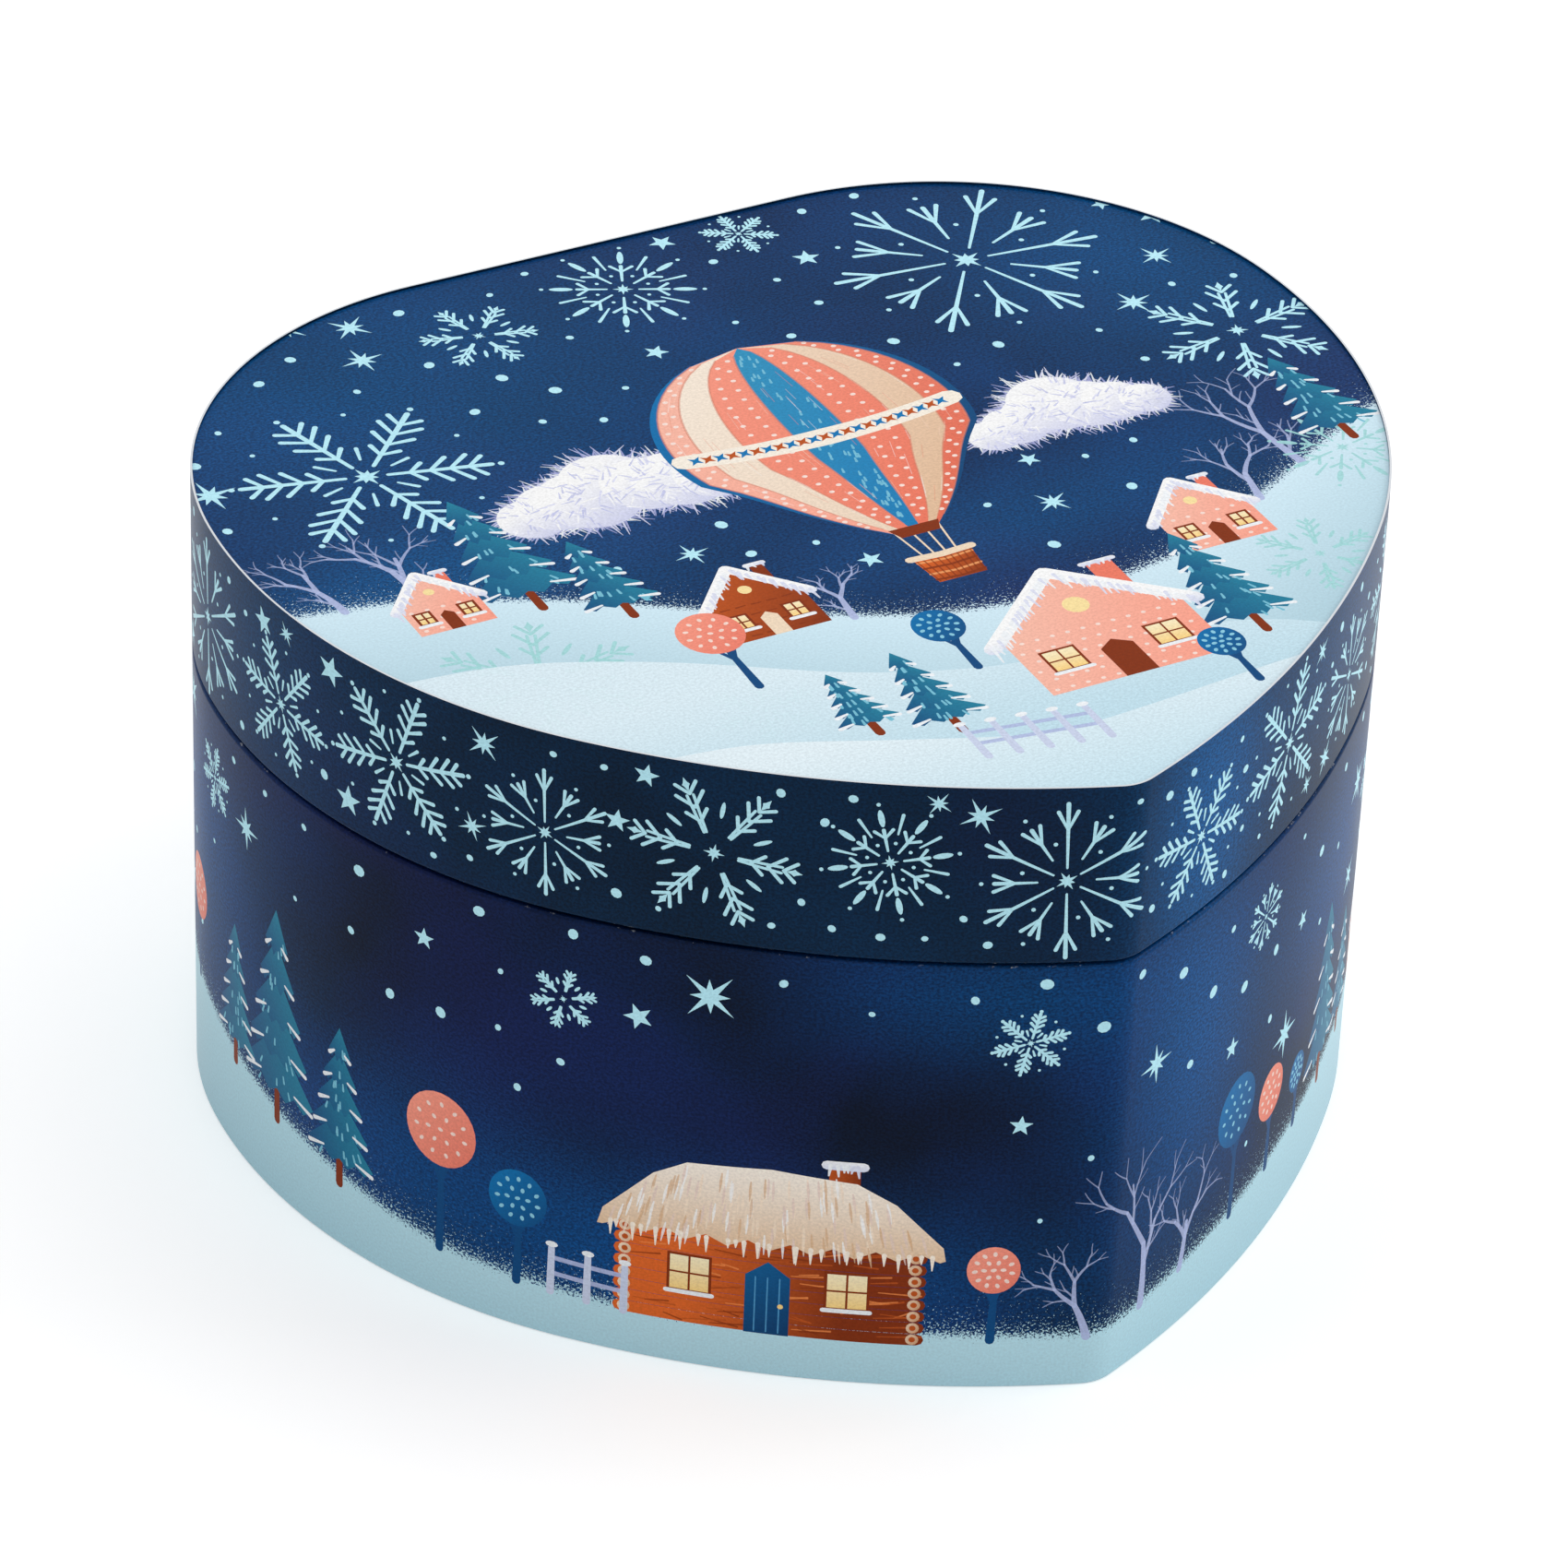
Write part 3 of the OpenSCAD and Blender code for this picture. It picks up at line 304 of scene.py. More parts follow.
    def window(self, x, y, w, h):
        """A lit window with a dark frame and cross bars, and snow on its sill."""
        left, right, frame_w = x - w / 2, x + w / 2, 0.4
        self.lay(rectangle(left - frame_w, y - frame_w, right + frame_w, y + h + frame_w), DARK_RUST)
        self.lay(rectangle(left, y, right, y + h), (LAMPLIGHT, "#fff1c9"), ((x, y), (x, y + h)))
        self.stroke([(x, y), (x, y + h)], 0.3, DARK_RUST)
        self.stroke([(left, y + h / 2), (right, y + h / 2)], 0.3, DARK_RUST)
        self.stroke([(left - 0.5, y - 0.5), (right + 0.5, y - 0.5)], 0.7, WHITE)

    def snow_cap(self, line, thick, seed):
        """Snow lying along a roof line, with a soft lower edge of brush strokes."""
        pick = random.Random(seed)
        start, end = np.array(line, float)
        self.stroke((start, end), (thick * 0.8, thick, thick * 0.8), (PURE_WHITE, "#d5dcf2"),
                    fade=(start + [0, thick / 2], start - [0, thick / 2]))
        count = np.linalg.norm(end - start) / 0.8
        for i in range(int(count)):
            p = start + (end - start) * (i + pick.random()) / count
            drop = pick.uniform(0.5, 1.1) * thick
            tip = p - [pick.uniform(-0.3, 0.3), drop]
            self.stroke([p, tip], (0.6, 0.25), pick.choice((WHITE, "#dfe3f6")), 0.9)

    def house(self, x, y, w, h, roof, wall, seed, dots=False):
        """A gabled house with lit windows, a door and a snow-covered roof. Its wall is CORAL or RUST."""
        pick = random.Random(seed)
        warm = wall == CORAL
        dark = "#f27f68" if warm else DARK_RUST
        eaves, ridge = y + h, y + h + roof
        self.lay(rectangle(x + w * 0.22, eaves, x + w * 0.36, ridge), dark)
        self.snow_cap([(x + w * 0.2, ridge), (x + w * 0.38, ridge)], 1.1, seed + 5)
        self.lay(gable(x, y, w / 2, eaves, ridge), (PALE_CORAL, wall) if warm else (wall, dark),
                 ((x - w / 2, eaves), (x + w / 2, y)))
        step = 2.3
        for row in range(int(h / step) + 1):
            for col in range(int(w / step)):
                px = x - w / 2 + step * (col + 0.5 + 0.5 * (row % 2))
                py = y + 1.0 + row * step
                if abs(px - x) < w / 2 - 0.8 and py < eaves:
                    if dots:
                        self.oval((px, py), 0.36, 0.3, "#fee3d8", 0, 8)
                    else:
                        end = py + pick.uniform(-0.1, 0.1)
                        self.stroke([(px - 0.7, py), (px + 0.7, end)], (0.3, 0.2), dark, 0.8)
        self.lay(gable(x, y, w * 0.09, y + h * 0.5, y + h * 0.62), DARK_RUST if warm else CREAM)
        for side in (-1, 1):
            self.window(x + side * w * 0.29, y + h * 0.34, w * 0.17, h * 0.32)
        self.oval((x, eaves + roof * 0.32), w * 0.07, w * 0.07, "#ffe6a6", sides=14)
        for side in (-1, 1):
            self.snow_cap([(x + side * w * 0.57, eaves - 1.2), (x, ridge + 0.4)], 1.2 + w * 0.07, seed + side)


def imprint(art, border, lines):
    """Cuts the flat sheet along the outline of every shape, and gives each piece the ink that lies on it."""
    verts, edges, faces = [], [], []
    for points in [border] + [shape[0] for shape in art.shapes]:
        faces.append(list(range(len(verts), len(verts) + len(points))))
        verts += [Vector(p) for p in points]
    for line in lines:
        edges += [(len(verts) + i, len(verts) + i + 1) for i in range(len(line) - 1)]
        verts += [Vector(p) for p in line]
    cut, _, triangles, _, _, under = geometry.delaunay_2d_cdt(verts, edges, faces, 1, 1e-5, True)
    inside = [i for i, ids in enumerate(under) if 0 in ids]
    used, tris = np.unique(np.array([triangles[i] for i in inside]), return_inverse=True)
    flat, tris = np.array([p[:] for p in cut])[used], tris.reshape(-1, 3)
    ink = np.zeros((len(tris), 3, 4))
    covered = {}
    for row, i in enumerate(inside):
        for shape in under[i]:
            covered.setdefault(shape, []).append(row)
    for number, (_, first, last, fade, cover) in enumerate(art.shapes, 1):
        rows = covered.get(number, [])
        first, last = np.array(first), np.array(last)
        if fade is None:
            colour = np.broadcast_to(first, (len(rows), 3, 3))
        else:
            start, way = np.array(fade[0], float), np.subtract(fade[1], fade[0]).astype(float)
            t = np.clip((flat[tris[rows]] - start) @ way / (way @ way), 0, 1)[..., None]
            colour = first + (last - first) * t
        old = ink[rows]
        alpha = cover + old[..., 3:] * (1 - cover)
        ink[rows, :, :3] = (colour * cover + old[..., :3] * old[..., 3:] * (1 - cover)) / alpha
        ink[rows, :, 3:] = alpha
    return flat, tris, ink


def in_scene(name, data):
    """A new object in the scene."""
    piece = bpy.data.objects.new(name, data)
    bpy.context.scene.collection.objects.link(piece)
    return piece


def finished(name, mesh, finish, smooth=True):
    """A piece's object, with every face smooth or flat and in this finish."""
    mesh.polygons.foreach_set("use_smooth", [smooth] * len(mesh.polygons))
    mesh.materials.clear()
    mesh.materials.append(finish)
    return in_scene(name, mesh)


def make_mesh(name, places, faces, finish, smooth=True):
    """A piece from its corners, in millimetres in the shared frame, and its faces."""
    mesh = bpy.data.meshes.new(name)
    corners = [tuple(p) for p in np.asarray(places, float) * MM]
    mesh.from_pydata(corners, [], [tuple(map(int, f)) for f in faces])
    mesh.update()
    return finished(name, mesh, finish, smooth)


def ink_on(piece, ink, uv, values):
    """Stores a print on its sheet: ink and the sheet's own place at face corners, and values at points."""
    mesh = piece.data
    layer = mesh.color_attributes.new("ink", "FLOAT_COLOR", "CORNER")
    layer.data.foreach_set("color", ink.astype(np.float32).ravel())
    mesh.uv_layers.new(name="print").data.foreach_set("uv", (uv / UV_MM).astype(np.float32).ravel())
    for name, value in values.items():
        mesh.attributes.new(name, "FLOAT", "POINT").data.foreach_set("value", np.asarray(value, np.float32))


def section(corners, wall):
    """A wrap's closed cross-section from (out, z, r) corners, where r rounds a fold. Gives the distance run
    round it, and rows of out, z and the outward direction. On the wall, after corner wall, run equals z."""
    rows = []
    for i, (x, z, r) in enumerate(corners):
        here = np.array([x, z], float)
        before, after = here - corners[i - 1][:2], np.array(corners[(i + 1) % len(corners)][:2]) - here
        before, after = before / np.linalg.norm(before), after / np.linalg.norm(after)
        for t in np.linspace(0, math.pi / 2, 5 if r else 2):
            place = here + r * (after - before) + r * (before * math.sin(t) - after * math.cos(t))
            way = before * math.cos(t) + after * math.sin(t)
            rows.append([*place, way[1], -way[0]])
        if i == wall:
            foot = len(rows) - 1
    rows = np.array(rows + rows[:1])
    run = np.concatenate([[0], np.cumsum(np.linalg.norm(np.diff(rows[:, :2], axis=0), axis=1))])
    return run + rows[foot, 1] - run[foot], rows


def wrap_round(name, art, corners, wall, finish, bank, glow, folds, cut=(0, 0)):
    """Prints a sheet, wraps it round the heart and folds its edges in. bank gives the print's height
    above the snow line, glow its airbrushed light and painted sheen; cut is the stretch of bare paper edge."""
    run, rows = section(corners, wall)
    # A shape that runs over the back seam is printed again at the sheet's other end
    for points, first, last, fade, cover in list(art.shapes):
        if np.abs(points[:, 0]).max() > half_round:
            turn = -2 * half_round * np.sign(points[:, 0].mean())
            moved = fade and [(x + turn, y) for x, y in fade]
            art.shapes.append((points + [turn, 0], first, last, moved, cover))
    low, high = run[0], run[-1]
    on_wall = np.arange(corners[wall][1] + 4, corners[wall + 1][1] - 2, 6)
    levels = np.unique(np.round(np.append(run, on_wall), 5))[1:-1]
    lines = [[(u, low), (u, high)] for u in round_steps()[1:-1]]
    lines += [[(-half_round, v), (half_round, v)] for v in levels]
    flat, tris, ink = imprint(art, rectangle(-half_round, low, half_round, high), lines)
    # Each corner goes to its place round the heart, and the sheet's two ends are joined
    point, out = outline(flat[:, 0])
    away, z = (np.interp(flat[:, 1], run, rows[:, k])[:, None] for k in (0, 1))
    places = np.hstack([point + out * away, z])
    _, first, weld = np.unique(np.round(places, 4) + 0.0, axis=0, return_index=True, return_inverse=True)
    faces = weld.reshape(-1)[tris]
    whole = (faces[:, 0] != faces[:, 1]) & (faces[:, 1] != faces[:, 2]) & (faces[:, 2] != faces[:, 0])
    faces, tris, ink = faces[whole], tris[whole], ink[whole]
    piece = make_mesh(name, places[first], faces, finish)
    u, v = flat[first].T
    worn = sum(np.exp(-((v - fold) / 0.45) ** 2) for fold in folds)
    ink_on(piece, ink, flat[tris], {"bank": bank(u, v), "glow": glow(u, v), "worn": worn})
    heights = flat[tris][:, :, 1]
    middle = heights.mean(1)
    bare = piece.data.attributes.new("bare", "FLOAT", "CORNER")
    bare.data.foreach_set("value", np.repeat((middle > cut[0]) & (middle < cut[1]), 3).astype(np.float32))
    # The light falls on smooth walls and rounded folds, so the normals come from the outline
    seg = np.clip(np.searchsorted(run, middle, "right") - 1, 0, len(run) - 2)
    t = np.clip((heights - run[seg][:, None]) / (run[seg + 1] - run[seg] + 1e-9)[:, None], 0, 1)[..., None]
    way = rows[seg, 2:][:, None] * (1 - t) + rows[seg + 1, 2:][:, None] * t
    normals = np.concatenate([out[tris] * way[..., :1], way[..., 1:]], -1)
    normals /= np.linalg.norm(normals, axis=-1, keepdims=True)
    piece.data.normals_split_custom_set(normals.reshape(-1, 3).tolist())
    return piece


def join(tree, node, links):
    """Sets a node's inputs, each to a value, a node's first output, (node, output), or a list of nodes."""
    for key, given in links.items():
        for value in given if isinstance(given, list) else [given]:
            if isinstance(value, bpy.types.Node):
                value = value.outputs[0]
            elif isinstance(value, tuple) and isinstance(value[0], bpy.types.Node):
                value = value[0].outputs[value[1]]
            if isinstance(value, bpy.types.NodeSocket):
                tree.links.new(value, node.inputs[key])
            else:
                node.inputs[key].default_value = value
    return node


def add(tree, kind, links=None, **settings):
    """Adds a node with its settings and links."""
    node = tree.nodes.new(kind)
    for key, value in settings.items():
        setattr(node, key, value)
    return join(tree, node, links or {})


def start_finish(name):
    """A new material with its tree and its surface node."""
    finish = bpy.data.materials.new(name)
    finish.use_nodes = True
    return finish, finish.node_tree, finish.node_tree.nodes["Principled BSDF"]


def print_place(tree):
    """The place on the printed sheet, in millimetres."""
    print_map = add(tree, "ShaderNodeUVMap", uv_map="print")
    return add(tree, "ShaderNodeVectorMath", {0: print_map, "Scale": float(UV_MM)}, operation="SCALE")


def vary(tree, colour, noise, between, shares):
    """A colour times a share that goes from one to the other as a noise goes between two values."""
    share = add(tree, "ShaderNodeMapRange", {"Value": noise, "From Min": between[0], "From Max": between[1],
                                             "To Min": shares[0], "To Max": shares[1]})
    return add(tree, "ShaderNodeVectorMath", {0: colour, "Scale": share}, operation="SCALE")


def printed_paper(name, deep, night, light, plum, shade="#b9d9e6", snow_white="#d5effb"):
    """Offset-printed paper under a satin polypropylene film. The inks are painted in mottled strokes on
    patches 30 mm across, the snow is sprayed in fine specks, and the film gives one soft, even sheen."""
    finish, tree, surface = start_finish(name)
    mm = print_place(tree)
    glow, bank, ink, worn, bare = (add(tree, "ShaderNodeAttribute", attribute_name=stored)
                                   for stored in ("glow", "bank", "ink", "worn", "bare"))
    patches = add(tree, "ShaderNodeTexNoise", {"Vector": mm, "Scale": 0.035, "Detail": 2.0})
    # The ink's grain: flecks about 0.6 mm long and 0.35 mm high, drawn coarser than they are
    along = add(tree, "ShaderNodeMapping", {"Vector": mm, "Scale": (1.7, 2.8, 1.0)})
    streaks = add(tree, "ShaderNodeTexNoise", {
        "Vector": along, "Scale": 1.0, "Detail": 4.0, "Roughness": 0.7})
    grain = add(tree, "ShaderNodeTexNoise", {"Vector": mm, "Scale": 2.6, "Detail": 2.0})
    # Sky: navy in large patches, airbrushed light and painted sheen, plum clouds, then the grain
    tone = add(tree, "ShaderNodeMapRange", {"Value": patches, "From Min": 0.35, "From Max": 0.65})
    sky = add(tree, "ShaderNodeMix", {0: tone, 6: linear(deep), 7: linear(night)}, data_type="RGBA")
    clouds = add(tree, "ShaderNodeTexNoise", {"Vector": mm, "Scale": 0.022, "Detail": 1.0, "Distortion": 0.6})
    plums = add(tree, "ShaderNodeMapRange", {
        "Value": clouds, "From Min": 0.5, "From Max": 0.72, "To Max": 0.5})
    sky = add(tree, "ShaderNodeMix", {0: plums, 6: (sky, 2), 7: linear(plum)}, data_type="RGBA")
    mottle = add(tree, "ShaderNodeMapRange", {
        "Value": streaks, "From Min": 0.3, "From Max": 0.7, "To Min": 0.6, "To Max": 1.05})
    lit = add(tree, "ShaderNodeMath", {0: (glow, "Fac"), 1: mottle}, operation="MULTIPLY", use_clamp=True)
    sky = add(tree, "ShaderNodeMix", {0: lit, 6: (sky, 2), 7: linear(light)}, data_type="RGBA")
    speck = add(tree, "ShaderNodeMath", {0: streaks, 1: grain}, operation="MULTIPLY")
    sky = vary(tree, (sky, 2), speck, (0.17, 0.33), (0.68, 1.36))
    # Snow: near white at the sprayed edge, a cool mint below, with a faint grain
    below = add(tree, "ShaderNodeMapRange", {"Value": (bank, "Fac"), "From Min": -24.0, "From Max": -1.0})
    snow = add(tree, "ShaderNodeMix", {0: below, 6: linear(shade), 7: linear(snow_white)}, data_type="RGBA")
    snow = vary(tree, (snow, 2), grain, (0.3, 0.7), (0.93, 1.05))
    # The spray: specks about 0.4 mm across that thin out over 13 mm
    spray = add(tree, "ShaderNodeTexNoise", {"Vector": mm, "Scale": 2.7, "Detail": 2.0, "Roughness": 0.8})
    rise = add(tree, "ShaderNodeMapRange", {"Value": (bank, "Fac"), "From Min": -3.0, "From Max": 13.0})
    reach = add(tree, "ShaderNodeFloatCurve", {"Value": rise})
    curve = reach.mapping.curves[0]
    for x, y in ((0.11, 0.3), (0.19, 0.48), (0.25, 0.57), (0.4, 0.65), (0.66, 0.72)):
        curve.points.new(x, y)
    curve.points[0].location, curve.points[-1].location = (0.0, 0.12), (1.0, 0.86)
    over = add(tree, "ShaderNodeMath", {0: spray, 1: reach}, operation="SUBTRACT")
    settled = add(tree, "ShaderNodeMapRange", {"Value": over, "From Min": -0.012, "From Max": 0.012})
    ground = add(tree, "ShaderNodeMix", {0: settled, 6: sky, 7: snow}, data_type="RGBA")
    # The flat motifs, with the same brush grain in their ink
    inked = vary(tree, (ink, "Color"), speck, (0.15, 0.35), (0.9, 1.07))
    face = add(tree, "ShaderNodeMix", {0: (ink, "Alpha"), 6: (ground, 2), 7: inked}, data_type="RGBA")
    # Bare white paper at the cut edges, and in a few scuffs along the folds
    scuffs = add(tree, "ShaderNodeTexNoise", {"Vector": mm, "Scale": 0.7, "Detail": 5.0, "Roughness": 0.7})
    chipped = add(tree, "ShaderNodeMath", {0: (worn, "Fac"), 1: scuffs}, operation="MULTIPLY")
    chipped = add(tree, "ShaderNodeMapRange", {
        "Value": chipped, "From Min": 0.56, "From Max": 0.66, "To Max": 0.55})
    core = add(tree, "ShaderNodeMath", {0: chipped, 1: (bare, "Fac")}, operation="MAXIMUM")
    face = add(tree, "ShaderNodeMix", {0: core, 6: (face, 2), 7: linear("#dfe3e8")}, data_type="RGBA")
    dimples = add(tree, "ShaderNodeTexNoise", {"Vector": mm, "Scale": 0.9, "Detail": 3.0})
    fibres = add(tree, "ShaderNodeBump", {"Height": dimples, "Strength": 0.05, "Distance": 0.0002})
    rough = add(tree, "ShaderNodeMapRange", {"Value": patches, "To Min": 0.3, "To Max": 0.4})
    join(tree, surface, {"Base Color": (face, 2), "Roughness": rough, "Normal": fibres,
                         "Specular IOR Level": 0.03, "Coat Weight": 0.06, "Coat Roughness": 0.12})
    return finish


def log_cabin(art, x, y, w, h, seed):
    """A log cabin seen from its long side, under a thick cream roof of snow."""
    pick = random.Random(seed)
    rows = 8
    log = h / rows
    for k in range(rows):
        z = y + h * (k + 0.5) / rows
        art.stroke([(x - w / 2 - 1.2, z), (x, z + 0.15), (x + w / 2 + 1.2, z)], log * 0.98,
                   (ORANGE, DARK_RUST), fade=((x - w * 0.3, z + log), (x + w * 0.25, z - log * 0.9)))
        for i in range(9):
            start = (x + pick.uniform(-0.5, 0.45) * w, z + pick.uniform(-0.6, 0.6))
            end = (start[0] + pick.uniform(2, 6), z + pick.uniform(-0.6, 0.6))
            art.stroke([start, end], (0.16, 0.3), pick.choice((DARK_RUST, RUST, "#f08a4a")), 0.75)
    for side in (-1, 1):
        for k in range(rows):
            end = (x + side * (w / 2 + 0.6), y + h * (k + 0.5) / rows)
            art.oval(end, log * 0.46, log * 0.46, (CREAM, "#c98a55"),
                     fade=((x + side * w / 2 - 1, end[1] + 1), (x + side * w / 2 + 2, end[1] - 1)))
            art.oval(end, 0.45, 0.45, RUST)
    door_w, door_h = w * 0.16, h * 0.78
    art.lay(gable(x, y, door_w / 2, y + door_h * 0.8, y + door_h), ("#0f5f96", "#0a3c6c"),
            ((x - 3, y + door_h), (x + 3, y)))
    for i in (-1, 0, 1):
        plank = x + i * door_w * 0.27
        art.stroke([(plank, y + 0.4), (plank, y + door_h * 0.78)], 0.2, "#4d95c4")
    art.oval((x + door_w * 0.3, y + door_h * 0.4), 0.4, 0.4, LAMPLIGHT)
    for side in (-1, 1):
        art.window(x + side * w * 0.28, y + h * 0.36, w * 0.14, h * 0.36)
    art.lay(rectangle(x + w * 0.2, y + h, x + w * 0.31, y + h * 1.86),
            (RUST, DARK_RUST), ((x + w * 0.2, 0), (x + w * 0.31, 0)))
    art.snow_cap([(x + w * 0.19, y + h * 1.88), (x + w * 0.32, y + h * 1.88)], 1.8, seed)
    # The roof: a pillow of snow, cream where the lamps light it, combed with brush strokes
    pillow = ((-0.62, 0.9), (-0.6, 1.08), (-0.42, 1.55), (-0.3, 1.72), (0, 1.77), (0.3, 1.7), (0.44, 1.5),
              (0.61, 1.06), (0.62, 0.92))
    top = [(x + w * across, y + h * up) for across, up in pillow]
    hem = [(x + w * (0.6 - 1.2 * i / 16), y + h * (0.93 + (0.06 if i % 2 else -0.03))) for i in range(17)]
    art.lay(top + hem, ("#fdf3e6", "#e9c7a4"), ((x, y + h * 1.7), (x, y + h * 0.9)))
    for i in range(170):
        t = pick.random()
        px, pz = x + w * pick.uniform(-0.56, 0.56), y + h * (0.92 + 0.72 * t)
        if abs(px - x) < w * (0.6 - 0.26 * t):
            lean = (px - x) / w * 1.6
            art.stroke([(px, pz + 1.5), (px + lean * 0.5, pz), (px + lean, pz - 1.7)], (0.2, 0.42, 0.12),
                       pick.choice((PURE_WHITE, "#fbe6cf", "#dfb68f", "#ecd3c8")), 0.75)
    for i in range(26):
        px, pz = x + w * (-0.6 + 1.2 * (i + pick.random()) / 26), y + h * 0.96
        art.stroke([(px, pz), (px, pz - pick.uniform(0.8, 2.8))], (0.7, 0.15), "#fdf0e0")


def fence(art, start, end, line, step=5.2):
    """Pale posts and two rails that follow the snow."""
    posts = np.arange(start, end, step)
    for rise in (2.4, 5.0):
        art.stroke([(p, line(p) + rise) for p in posts], 0.75, LILAC, 0.9)
    for i, p in enumerate(posts):
        art.stroke([(p, line(p) - 0.8), (p + 0.1, line(p) + 6.6 + 0.5 * (i % 2))], (1.15, 0.95), "#cfd8f0")
        art.oval((p + 0.1, line(p) + 7.2), 0.9, 0.5, WHITE, sides=10)


def smoothed(x, stops, reach, ends):
    """The heights at x of a line through these stops, with its bends rounded over reach steps each way."""
    heights = np.pad(np.interp(x, *zip(*stops)), reach, ends)
    weights = np.hanning(2 * reach + 1)
    return np.convolve(heights, weights / weights.sum(), "valid")


round_u = np.linspace(-half_round, half_round, 401)
bank_stops = [(-250.7, 22), (-215, 27), (-180, 25), (-150, 20), (-120, 14), (-92, 9), (-60, 7.5), (-25, 9),
              (0, 8.5), (25, 11), (55, 14), (90, 18), (130, 24), (170, 18), (210, 16), (250.7, 22)]
snow_line = smoothed(round_u, bank_stops, 12, "wrap")


def base_line(u):
    """The height of the snow on the wall."""
    return float(np.interp(u, round_u, snow_line))


def glow_and_sheen_of(lights):
    """Airbrushed light and painted sheen: soft ovals of (u, v, reach along, reach up, strength)."""
    return lambda u, v: np.clip(sum(s * np.exp(-((u - a) / ra) ** 2 - ((v - b) / rb) ** 2)
                                    for a, b, ra, rb, s in lights), 0, 1)


def scatter(low, high, count, gap, keep_off, seed):
    """Places in a rectangle, at least gap apart and clear of the (x, y, r) circles."""
    pick, spots = random.Random(seed), []
    for _ in range(count * 30):
        p = (pick.uniform(low[0], high[0]), pick.uniform(low[1], high[1]))
        near = any(math.dist(p, q) < gap for q in spots)
        near = near or any(math.dist(p, q[:2]) < q[2] + 2.5 for q in keep_off)
        if not near and len(spots) < count:
            spots.append(p)
    return spots


base_art = Art()
# Snowflakes by place, radius and kind; bare trees by place, height, seed and lean; firs by place, width,
# height and seed
base_flakes = ((-12, 57, 5.2, 0), (-74, 56, 4.6, 3), (-143, 58, 5.4, 0), (34, 58, 4.8, 2), (83, 52, 5.5, 0),
               (140, 58, 5, 3), (200, 55, 6, 0), (-190, 56, 5.5, 2), (-232, 60, 4.5, 1))
base_trees = ((8, 31, 3, 0.05), (17, 22, 8, 0.2), (-2, 17, 21, -0.25), (104, 33, 4, -0.1), (116, 24, 5, 0.15),
              (-170, 30, 6, 0.1), (-182, 22, 9, -0.2), (215, 28, 12, 0.1), (-236, 24, 14, 0))
base_firs = ((-124, 17, 34, 1), (-110, 13, 25, 2), (-136, 12, 22, 3), (62, 15, 29, 4), (73, 11, 20, 5),
             (150, 18, 34, 6), (163, 13, 24, 7), (-205, 18, 33, 8), (-220, 13, 23, 9), (238, 16, 28, 10))
# The stars keep off these circles
on_base = [(-42, 28, 30), (-42, 45, 14), (12, 24, 15), (-84, 20, 16), (-107, 24, 20), (-128, 30, 18)]
on_base += [(u, z, r + 1.5) for u, z, r, _ in base_flakes]
on_base += [(u, base_line(u) + 0.6 * height, 0.4 * height) for u, height, _, _ in base_trees]
on_base += [(u, base_line(u) + 0.55 * height, 0.4 * height) for u, _, height, _ in base_firs]
spots = scatter((-248, 20), (248, 67), count=165, gap=8.5, keep_off=on_base, seed=7)
spots = [p for p in spots if p[1] > base_line(p[0]) + 8]
base_art.night(spots, seed=11, sizes=(0.4, 1.0), largest=4.4)
for u, z, r, kind in base_flakes:
    base_art.snowflake((u, z), r, kind, 0.3)
for u, height, seed, lean in base_trees:
    base_art.bare_tree((u, base_line(u)), height, seed, lean)
for u, width, height, seed in base_firs:
    base_art.fir((u, base_line(u) - 0.8), width, height, seed)
for seed, (u, r, height, warm) in enumerate((
        (-92, 5.6, 19, True), (-80, 4.3, 13, False), (30, 5.2, 17, False), (41, 4.0, 12, True),
        (51, 2.9, 8, False), (-15, 3.6, 11, True), (128, 5, 15, True), (190, 5.4, 18, False),
        (200, 4.2, 12, True), (-152, 4.6, 14, True)), 1):
    base_art.round_tree((u, base_line(u)), r, height, warm, seed)
log_cabin(base_art, -45, base_line(-45) - 1.2, 38, 15.5, 5)
base_art.house(178, base_line(178) - 1, 17, 12, 9, CORAL, 6, dots=True)
base_art.house(88, base_line(88) - 1, 13, 11, 8, RUST, 7)
base_art.house(-250.7, base_line(-250) - 1, 19, 13, 10, RUST, 8)
for start, end in ((-75, -62), (92, 128), (-204, -176), (206, 232)):
    fence(base_art, start, end, base_line)

base_print = printed_paper("base_print", "#030f26", "#08204a", "#0464ae", "#1a1e58", "#a9d0de", "#bee5f1")
# Airbrushed light in the base print, partly painted sheen: some ovals brighten the sky where the film would
# catch the lamps
base_glow_and_sheen = glow_and_sheen_of([
    (17, 48, 17, 30, 0.62), (-14, 64, 24, 9, 0.35), (-105, 20, 46, 16, 0.3), (-50, 16, 50, 12, 0.4),
    (66, 50, 30, 20, 0.5), (180, 40, 50, 20, 0.5), (-200, 45, 45, 20, 0.45), (-152, 46, 26, 26, 0.4)])
foot_fold, rim_fold = -12, -2.7    # how far the edges turn in under the foot and over the rim
base_wrap = wrap_round(
    "base_print_wrap", base_art,
    [(foot_fold, paper, 0), (-3.4, paper, 0), (-2.6, 0.02, 0.3), (0, 0.02, 0.35), (0, rim_z, 0.6),
     (rim_fold, rim_z, 0), (rim_fold, rim_z - paper, 0), (-paper, rim_z - paper, 0), (-paper, 2 * paper, 0),
     (foot_fold, 2 * paper, 0)],
    wall=3, finish=base_print, bank=lambda u, v: v - np.interp(u, round_u, snow_line), glow=base_glow_and_sheen,
    folds=(0.5, rim_z))
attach(base_wrap, "case")
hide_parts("base_wrap")

# ---- Base board, floor board and underside sheet ----
# Grey pulp board, cut to the heart and glued. It shows only where the shaft passes through
# it. A plain sheet of kraft-backed paper closes the foot and hides the turned-in edges.


